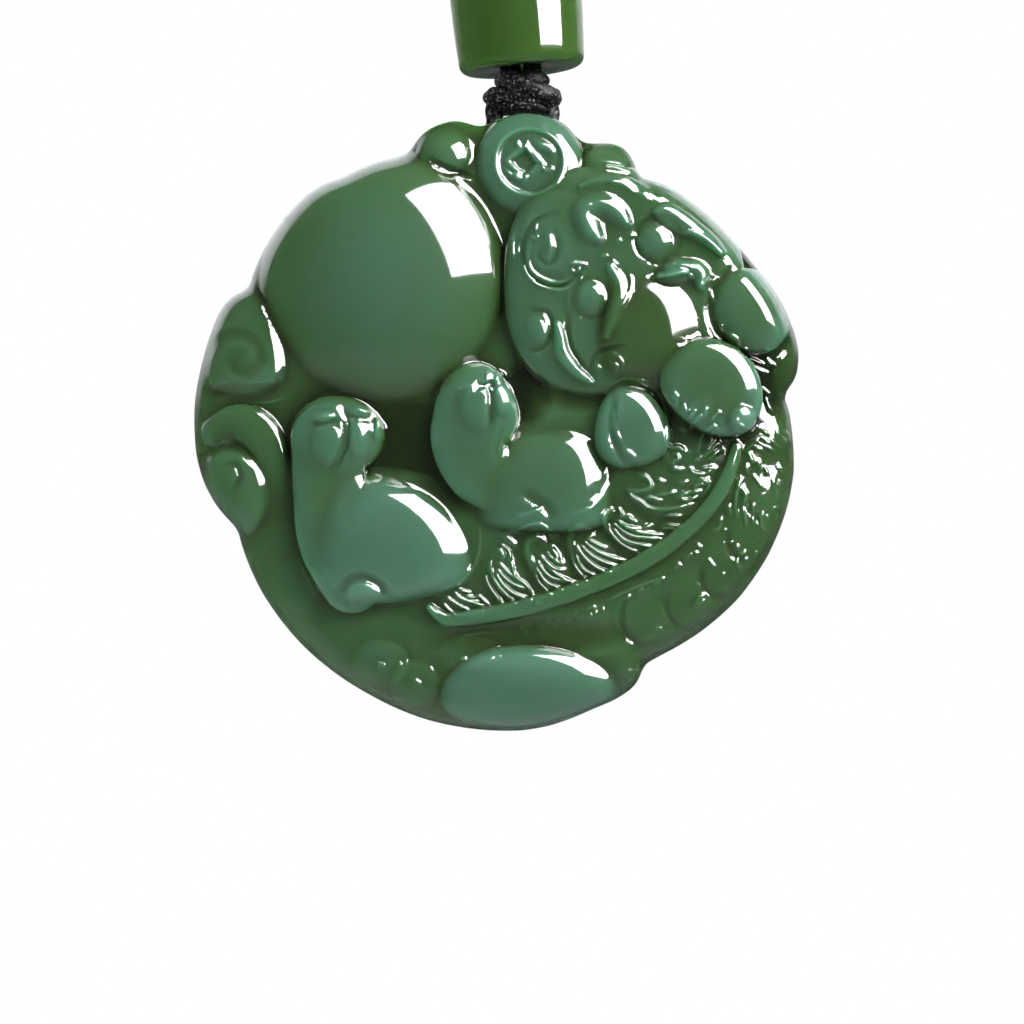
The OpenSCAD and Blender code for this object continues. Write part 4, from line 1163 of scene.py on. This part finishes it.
    def place(self, piece: bpy.types.Object, x: np.ndarray, z: np.ndarray, depth: np.ndarray) -> None:
        """Put points given in cells and in millimetres before the rim in their places in the row frame.

        Args:
            piece: The front or the back.
            x: Places across, in cells.
            z: Places up, in cells.
            depth: Millimetres before the rim's plane.
        """
        share = np.minimum(1, np.hypot(x, z) / self.relief.reach(x, z))
        over = np.clip((share - (1 - self.rim_share)) / self.rim_share, 0, 1)
        edge = (self.ear_back + self.ear_edge) * self.cut_share(x, z)
        deep = edge + (depth - edge) * np.sqrt(1 - over * over)
        mx, my, mz = CARVING_MIDDLE
        set_points(piece, np.stack([mx + CELL * x, my - deep, mz + CELL * z], 1) * MM)

    def front(self) -> bpy.types.Object:
        """Build the relief front with its tones of painted shade and light.

        Returns:
            The front's piece.
        """
        made = self.disc("jade_carving_relief", *self.front_rings)
        for count in self.refinements:
            self.refine(made, count)
        x, z = points_of(made)[:, :2].T
        depth = self.relief.depth(x, z)
        set_tone(made, self.relief.tone(x, z, depth))
        self.place(made, x, z, depth * DEPTH)
        return made

    def back(self) -> bpy.types.Object:
        """Build the domed back.

        Returns:
            The back's piece.
        """
        made = self.disc("jade_carving_back", *self.back_rings)
        x, z = (points_of(made) * self.back_inset)[:, :2].T
        share = np.hypot(x, z) / self.relief.reach(x, z)
        cut = self.cut_share(x, z)
        dome = 1 - (1 - self.back_edge) * share**2
        set_tone(made, self.back_tone)
        self.place(made, x, z, -self.back_depth * dome * (1 - cut) + self.ear_back * cut)
        select_only(made)
        bpy.ops.object.mode_set(mode="EDIT")
        bpy.ops.mesh.select_all(action="SELECT")
        bpy.ops.mesh.flip_normals()
        bpy.ops.object.mode_set(mode="OBJECT")
        return made

    def lug(self) -> bpy.types.Object:
        """Build the lug behind the coin, with the bore across it.

        Returns:
            The lug's piece.
        """
        x, radius, deep = PIVOT[0], self.lug_radius, self.lug_front + self.lug_root
        middle = (x, 0, BORE_Z)
        foot = (x, (radius - deep) / 2, BORE_Z - self.lug_down / 2)
        made = self.block((LUG_WIDTH, self.lug_front + radius, self.lug_down), foot)
        upper = self.rod(radius, LUG_WIDTH, middle, self.lug_sides)
        ahead = self.block((LUG_WIDTH, deep, radius / 2), (x, -deep / 2, BORE_Z + radius / 4))
        hole = self.rod(self.bore_radius, LUG_WIDTH + 2 * self.bore_past, middle, self.bore_sides)
        for other, operation in ((upper, "UNION"), (ahead, "UNION"), (hole, "DIFFERENCE")):
            change = made.modifiers.new("shape", "BOOLEAN")
            change.operation = operation
            change.object = other
            change.solver = "EXACT"
            apply_modifiers(made)
            bpy.data.objects.remove(other)
        rounded = made.modifiers.new("edges", "BEVEL")
        rounded.width = self.lug_edge * MM
        rounded.segments = self.lug_edge_steps
        rounded.limit_method = "ANGLE"
        apply_modifiers(made)
        set_tone(made, self.lug_tone)
        return made

    def block(self, size: tuple, middle: tuple) -> bpy.types.Object:
        """Add a block of a size at a place, both in millimetres.

        Args:
            size: Width, depth and height.
            middle: Place of its middle.

        Returns:
            The block.
        """
        deselect()
        bpy.ops.mesh.primitive_cube_add(size=1, location=Vector(middle) * MM)
        return settle(Vector(size) * MM)

    def rod(self, radius: float, length: float, middle: tuple, sides: int) -> bpy.types.Object:
        """Add a round rod that lies across, its sizes in millimetres.

        Args:
            radius: Its radius.
            length: Its length.
            middle: Place of its middle.
            sides: How many sides it has.

        Returns:
            The rod.
        """
        deselect()
        bpy.ops.mesh.primitive_cylinder_add(
            vertices=sides, radius=radius * MM, depth=length * MM, location=Vector(middle) * MM,
            rotation=(0, math.pi / 2, 0),
        )
        return settle()

    def build(self, finish: StoneFinish) -> bpy.types.Object:
        """Build the whole carving and dress it.

        Args:
            finish: The stone's finish.

        Returns:
            The finished piece.
        """
        front = self.front()
        join(front, self.back())
        bpy.ops.object.mode_set(mode="EDIT")
        bpy.ops.mesh.select_mode(type="EDGE")
        bpy.ops.mesh.select_all(action="DESELECT")
        bpy.ops.mesh.select_non_manifold(
            extend=False, use_wire=False, use_boundary=True, use_multi_face=False,
            use_non_contiguous=False, use_verts=False,
        )
        bpy.ops.mesh.bridge_edge_loops()
        bpy.ops.object.mode_set(mode="OBJECT")
        join(front, self.lug())
        bpy.ops.object.shade_smooth()
        front.name = "jade_carving_relief"
        front.data.materials.append(finish.material())
        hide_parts("jade_carving")
        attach(front, Body.PENDANT.value)
        return front


@dataclass
class BraidedCord:
    """Tubes of braided cord that follow a line."""

    radius: float = CORD_RADIUS
    sides: int = 24
    line_step: float = 0.3
    ring_step: float = 0.13
    fewest_rings: int = 8
    nearly_along: float = 0.1
    braid_pitch: float = 1.5
    braid_depth: float = 0.11
    braid_swell: float = 1.6
    braid_power: float = 0.6
    carriers: int = 4

    def tube(
        self, name: str, points: list, material: bpy.types.Material, radius: float | None = None
    ) -> tuple:
        """Sweep a braided tube along a line.

        Args:
            name: Name of the piece.
            points: Points of the line, in millimetres.
            material: The cord's material.
            radius: Half of the cord's thickness, if it isn't the usual one.

        Returns:
            The piece, and the middles of its rings in metres.
        """
        line = self.even(smooth_line(points, self.line_step))
        along = np.gradient(line, axis=0)
        along /= np.linalg.norm(along, axis=1)[:, None]
        side = np.cross(along[0], (0.0, 1.0, 0.0))
        if np.linalg.norm(side) < self.nearly_along:
            side = np.cross(along[0], (1.0, 0.0, 0.0))
        angle = np.arange(self.sides) * 2 * math.pi / self.sides
        distance = 0.0
        rings = []
        for i, (middle, way) in enumerate(zip(line, along)):
            side = side - way * (side @ way)
            side /= np.linalg.norm(side)
            up = np.cross(way, side)
            distance += np.linalg.norm(line[i] - line[i - 1]) if i else 0
            half, twist = self.carriers / 2 * angle, math.pi * distance / self.braid_pitch
            weave = np.abs(np.sin(half + twist) * np.sin(half - twist)) ** self.braid_power
            r = (radius or self.radius) * (1 - self.braid_depth * (1 - self.braid_swell * weave))
            rings.append(middle + np.outer(r * np.cos(angle), side) + np.outer(r * np.sin(angle), up))
        return ring_surface(name, rings, material, True), [tuple(p) for p in line * MM]

    def even(self, line: np.ndarray) -> np.ndarray:
        """Space a line's points evenly.

        Args:
            line: Points of the line, in millimetres.

        Returns:
            Points at even steps along it.
        """
        run = np.concatenate([[0], np.cumsum(np.linalg.norm(np.diff(line, axis=0), axis=1))])
        at = np.linspace(0, run[-1], max(self.fewest_rings, int(run[-1] / self.ring_step)))
        return np.stack([np.interp(at, run, line[:, k]) for k in range(3)], 1)


def leaning(points: list) -> list:
    """Turn points given above the lower knot, in millimetres, by the bead's lean.

    Args:
        points: Places across, towards the back and up from the lower knot's top.

    Returns:
        The same places in the row frame.
    """
    c, s = math.cos(LEAN), math.sin(LEAN)
    return [(PIVOT[0] + x * c - z * s, y, PIVOT[2] + x * s + z * c) for x, y, z in points]


def upright(points: list) -> list:
    """Place points given above the lower knot, in millimetres, in the row frame without a lean."""
    return [(PIVOT[0] + x, y, PIVOT[2] + z) for x, y, z in points]


@dataclass
class Cordage:
    """Everything made of cord: the strand in the bore, the knots, the bead's strands and the loop."""

    braid: BraidedCord = field(default_factory=BraidedCord)
    # How far the strand through the bore goes up into the lower knot
    bail_tuck: float = 0.8
    bend_turns: tuple[float, ...] = (0, 22.5, 45, 67.5, 90)
    # Turns of a knot: middle across, half width, half depth, height, tilt, half thickness
    turns: tuple = (
        (-0.05, 2.35, 1.35, 1.3, -0.06, 0.86), (0.1, 1.35, 1.2, 2.65, 0.1, 0.8),
        (0, 1.75, 1.35, 0.6, 0, 0.62),
    )
    # A turn is a ring of this many points that starts at this angle and goes on past its start
    turn_points: int = 24
    turn_start: float = 1.2
    turn_overlap: int = 3
    # The strand that crosses the front of a knot, and its half thickness
    over: tuple = (
        (-0.9, 1.2, 2.2), (-1.5, 0.2, 2.7), (-1.1, -1.2, 2.75), (0.1, -1.9, 2.2), (1.3, -1.7, 1.7),
        (2.3, -0.8, 1.4), (2.4, 0.5, 1.3), (1.4, 1.3, 1.3),
    )
    over_radius: float = 0.8
    core_size: tuple[float, float, float] = (2.3, 1.5, 1.45)
    core_sides: int = 24
    core_rings: int = 16

    def bail(self, material: bpy.types.Material) -> None:
        """Build the strand that goes down behind the coin, through the bore and up again.

        Args:
            material: The cord's material.
        """
        top = PIVOT[2] - KNOT_HEIGHT + self.bail_tuck
        half = [(LEG_X, 0, top), (LEG_X, 0, (top + BORE_Z) / 2)]
        for turn in map(math.radians, self.bend_turns):
            across = LUG_WIDTH / 2 + BEND_RADIUS * math.cos(turn)
            half.append((across, 0, BORE_Z + BEND_RADIUS - BEND_RADIUS * math.sin(turn)))
        line = half + [(-x, y, z) for x, y, z in reversed(half)]
        points = [(PIVOT[0] + x, y, z) for x, y, z in line]
        piece, _ = self.braid.tube("bail_cord_braid", points, material)
        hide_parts("bail_cord")
        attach(piece, Body.HANGER.value)

    def knot(self, name: str, node: str, material: bpy.types.Material, low: float, lean: Callable) -> None:
        """Build a knot of wrapped cord.

        Args:
            name: Name of the piece.
            node: The node that it replaces.
            material: The cord's material.
            low: Height of its foot above the lower knot's top, in millimetres.
            lean: The function that puts its points in the row frame.
        """
        pieces = []
        for across, wide, deep, height, tilt, thick in self.turns:
            ring = []
            for k in range(self.turn_points + self.turn_overlap):
                angle = 2 * math.pi * k / self.turn_points + self.turn_start
                x = across + wide * math.cos(angle)
                ring.append((x, -deep * math.sin(angle), low + height + tilt * math.cos(angle)))
            pieces.append(self.braid.tube(name, lean(ring), material, thick)[0])
        over = lean([(x, y, low + z) for x, y, z in self.over])
        pieces.append(self.braid.tube(name, over, material, self.over_radius)[0])
        middle = Vector(lean([(0, 0, low + KNOT_HEIGHT / 2)])[0])
        deselect()
        bpy.ops.mesh.primitive_uv_sphere_add(
            segments=self.core_sides, ring_count=self.core_rings, radius=MM, location=middle * MM
        )
        core = settle(self.core_size)
        core.data.materials.append(material)
        join(*pieces, core)
        bpy.ops.object.shade_smooth()
        made = pieces[0]
        made.name = name
        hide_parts(node)
        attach(made, Body.HANGER.value)

    def loop(self, material: bpy.types.Material) -> None:
        """Args:
            material: The cord's material.
        """
        flat = [*LOOP_SIDE, LOOP_TOP, *((-x, z) for x, z in reversed(LOOP_SIDE))]
        points = leaning([(x, 0, LOOP_FOOT + z) for x, z in flat])
        piece, path = self.braid.tube("hanging_loop_braid", points, material)
        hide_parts("hanging_loop")
        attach(piece, Body.HANGER.value)

    def strands(self, material: bpy.types.Material) -> None:
        """Dress the bead's two strands, which stay as the source made them.

        Args:
            material: The cord's material.
        """
        node = bpy.data.objects.get("bead_cord")
        if node is not None:
            node.data.materials.clear()
            node.data.materials.append(material)

    def build(self, finish: CordFinish) -> None:
        """Build all the cordage in one finish.

        Args:
            finish: The cord's finish.
        """
        material = finish.material()
        self.loop(material)
        self.bail(material)
        self.knot("lower_knot_braid", "lower_knot", material, -KNOT_HEIGHT, upright)
        self.knot("top_knot_braid", "top_knot", material, BEAD_LENGTH + 2 * BEAD_GAP, leaning)
        self.strands(material)


@dataclass
class BarrelBead:
    """The polished barrel bead, turned about its own bore."""

    length: float = BEAD_LENGTH
    middle_radius: float = 5.5
    end_radius: float = 5.15
    bore_radius: float = 1.7
    bore_edge: float = 0.35
    bore_edge_middle: float = 0.1
    edge: float = 0.8
    edge_steps: int = 6
    barrel_steps: int = 24
    sides: int = 96

    def outline(self) -> list:
        """Give the bead's section as radius and height, in millimetres.

        Returns:
            The section from the foot of the bore, round the outside, to its top.
        """
        sag = self.middle_radius - self.end_radius
        curve = (self.length**2 / 4 + sag**2) / (2 * sag)
        half = self.length / 2 - self.edge
        edge_radius = self.middle_radius - curve + math.sqrt(curve**2 - half**2) - self.edge
        bore, wide, middle = self.bore_radius, self.bore_edge, self.bore_edge_middle
        lower = [(bore, wide), (bore + middle, middle), (bore + wide, 0)]
        for k in range(self.edge_steps + 1):
            a = math.pi / 2 * k / self.edge_steps
            lower.append((edge_radius + self.edge * math.sin(a), self.edge * (1 - math.cos(a))))
        barrel = []
        for k in range(1, self.barrel_steps):
            z = half * (2 * k / self.barrel_steps - 1)
            barrel.append((self.middle_radius - curve + math.sqrt(curve**2 - z**2), self.length / 2 + z))
        return lower + barrel + [(r, self.length - z) for r, z in reversed(lower)]

    def build(self, finish: StoneFinish) -> bpy.types.Object:
        """Build the bead and dress it.

        Args:
            finish: The bead's finish.

        Returns:
            The finished piece.
        """
        section = self.outline()
        turns = [2 * math.pi * k / self.sides for k in range(self.sides)]
        rings = []
        for r, z in (*section, section[0]):
            rings.append(leaning([(r * math.cos(a), r * math.sin(a), BEAD_GAP + z) for a in turns]))
        made = ring_surface("barrel_bead_polished", rings, finish.material(), False)
        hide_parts("barrel_bead")
        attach(made, Body.HANGER.value)
        return made


@dataclass
class Studio:
    """The camera, the lights, the pale surroundings and the floor."""

    sensor: float = 36.0
    distance: float = 0.255
    picture_width: float = 0.0846
    middle_right: float = 1.239
    middle_down: float = 6.773
    nearest_seen: float = 0.01
    # The surroundings' strengths, and the directions between which each begins
    table_glow: float = 0.3
    table_edge: tuple[float, float] = (-0.46, -0.74)
    room_glow: float = 0.1
    back_glow: float = 1.3
    back_edge: tuple[float, float] = (0.5, 0.7)
    back_foot: tuple[float, float] = (-0.02, 0.25)
    tint: tuple[float, float, float, float] = (0.94, 0.95, 1, 1)
    seen_colour: tuple[float, float, float, float] = (1, 1, 1, 1)
    floor_colour: tuple[float, float, float, float] = (0.8, 0.8, 0.8, 1)
    floor_roughness: float = 0.9
    floor_height: float = -0.36
    floor_radius: float = 0.3
    floor_sides: int = 96
    # Panels of light: name, direction in the picture in degrees anticlockwise from the right, degrees
    # in front of the rim's plane, width and height in metres, watts, turn in degrees about the line
    # to the carving, whether the polish reflects it
    panels: tuple = (
        ("key_panel", 41, 27, (0.52, 0.44), 22, -16, True),
        ("left_fill", 190, 30, (0.5, 0.5), 7, 0, False),
        ("back_fill", 160, -35, (0.5, 0.5), 8, 0, False),
    )
    panel_distance: float = 0.5

    def camera(self) -> None:
        """Set the camera straight in front of the carving."""
        mx, my, mz = CARVING_MIDDLE
        data = bpy.data.cameras.new("front_camera")
        data.sensor_width = self.sensor
        data.lens = self.sensor * self.distance / self.picture_width
        data.clip_start = self.nearest_seen
        camera = bpy.data.objects.new("front_camera", data)
        bpy.context.scene.collection.objects.link(camera)
        across, up = (mx + self.middle_right) * MM, (mz - self.middle_down) * MM
        camera.location = (across, my * MM - self.distance, up)
        camera.rotation_euler = (math.pi / 2, 0, 0)
        bpy.context.scene.camera = camera

    def panel(
        self, name: str, bearing: float, forward: float, size: tuple, power: float, turn: float,
        reflected: bool,
    ) -> None:
        """Hang a soft panel of light that faces the carving.

        Args:
            name: Name of the light.
            bearing: Direction in the picture, in degrees anticlockwise from the right.
            forward: Degrees in front of the rim's plane, less than 0 behind it.
            size: Width and height in metres.
            power: Radiant power in watts.
            turn: Turn about the line to the carving, in degrees.
            reflected: Whether the polish reflects it.
        """
        b, f = math.radians(bearing), math.radians(forward)
        way = Vector((math.cos(b) * math.cos(f), -math.sin(f), math.sin(b) * math.cos(f)))
        side = Vector((0, -1, 0)).cross(way).normalized()
        up = way.cross(side).normalized()
        data = bpy.data.lights.new(name, "AREA")
        data.shape = "RECTANGLE"
        data.size, data.size_y = size
        data.energy = power
        light = bpy.data.objects.new(name, data)
        bpy.context.scene.collection.objects.link(light)
        facing = Matrix((side, up, way)).transposed() @ Matrix.Rotation(math.radians(turn), 3, "Z")
        place = Vector(CARVING_MIDDLE) * MM + way * self.panel_distance
        light.matrix_world = Matrix.Translation(place) @ facing.to_4x4()
        light.visible_camera = False
        light.visible_glossy = reflected

    def surroundings(self) -> None:
        """Make the surroundings pale behind the carving and dim in front of it."""
        world = bpy.data.worlds.new("pale_studio")
        bpy.context.scene.world = world
        graph = Graph(world)
        graph.nodes.clear()
        way = graph.add("SeparateXYZ", {0: graph.add("TexCoord").outputs["Generated"]}).outputs
        table = graph.step(way["Z"], *self.table_edge, self.table_glow)
        back = graph.step(way["Y"], *self.back_edge, self.back_glow)
        room = graph.math("MULTIPLY_ADD", back, graph.step(way["Z"], *self.back_foot), self.room_glow)
        lit = graph.add("Background", {"Color": self.tint, "Strength": graph.math("ADD", table, room)})
        seen = graph.add("Background", {"Color": self.seen_colour, "Strength": 1})
        ray = graph.add("LightPath").outputs["Is Camera Ray"]
        mixed = graph.add("MixShader", {0: ray, 1: lit.outputs[0], 2: seen.outputs[0]})
        graph.add("OutputWorld", {"Surface": mixed.outputs[0]})

    def floor(self) -> None:
        """Lay a plain pale floor well below the pendant."""
        deselect()
        bpy.ops.mesh.primitive_circle_add(
            vertices=self.floor_sides, radius=self.floor_radius, fill_type="NGON",
            location=(0, 0, self.floor_height),
        )
        made = bpy.context.active_object
        made.name = "pale_floor"
        material = bpy.data.materials.new("pale_floor")
        graph = Graph(material)
        colours = {"Base Color": self.floor_colour, "Roughness": self.floor_roughness}
        graph.fill(graph.nodes["Principled BSDF"], colours)
        made.data.materials.append(material)
        made.visible_glossy = False

    def build(self) -> None:
        """Set up the whole studio."""
        self.camera()
        self.surroundings()
        self.floor()
        for row in self.panels:
            self.panel(*row)
        bpy.context.scene.view_settings.view_transform = "Standard"


CARVED_JADE = StoneFinish(
    name="carved_jade",
    slot=Slot.JADE,
    # Colours from painted shade in the creases, at 0, to painted light on the tops, at 1
    tones=(
        (0.0, (0.003, 0.006, 0.001)),
        (0.3, (0.010, 0.021, 0.006)),
        (0.55, (0.015, 0.036, 0.014)),
        (0.8, (0.019, 0.049, 0.029)),
        (1.0, (0.030, 0.065, 0.047)),
    ),
    attribute="tone",
)
BEAD_JADE = StoneFinish(
    name="bead_jade",
    slot=Slot.BEAD,
    tones=((0.2, (0.010, 0.024, 0.004)), (0.8, (0.015, 0.034, 0.006))),
    attribute=None,
    cloud=0.5,
    spread=0.01,
)


def main() -> None:
    """Build the studio and every piece in order."""
    logging.basicConfig(level=logging.INFO, format="%(message)s")
    deselect()
    Studio().build()
    Cordage().build(CordFinish())
    LOG.info("cordage: loop, strand through the bore, two knots")
    bead = BarrelBead().build(BEAD_JADE)
    LOG.info("bead: %d faces", len(bead.data.polygons))
    carving = JadeCarving().build(CARVED_JADE)
    triangles = sum(len(face.vertices) - 2 for face in carving.data.polygons)
    LOG.info("carving: %d faces, %d triangles", len(carving.data.polygons), triangles)
    deselect()


if __name__ == "__main__":
    main()
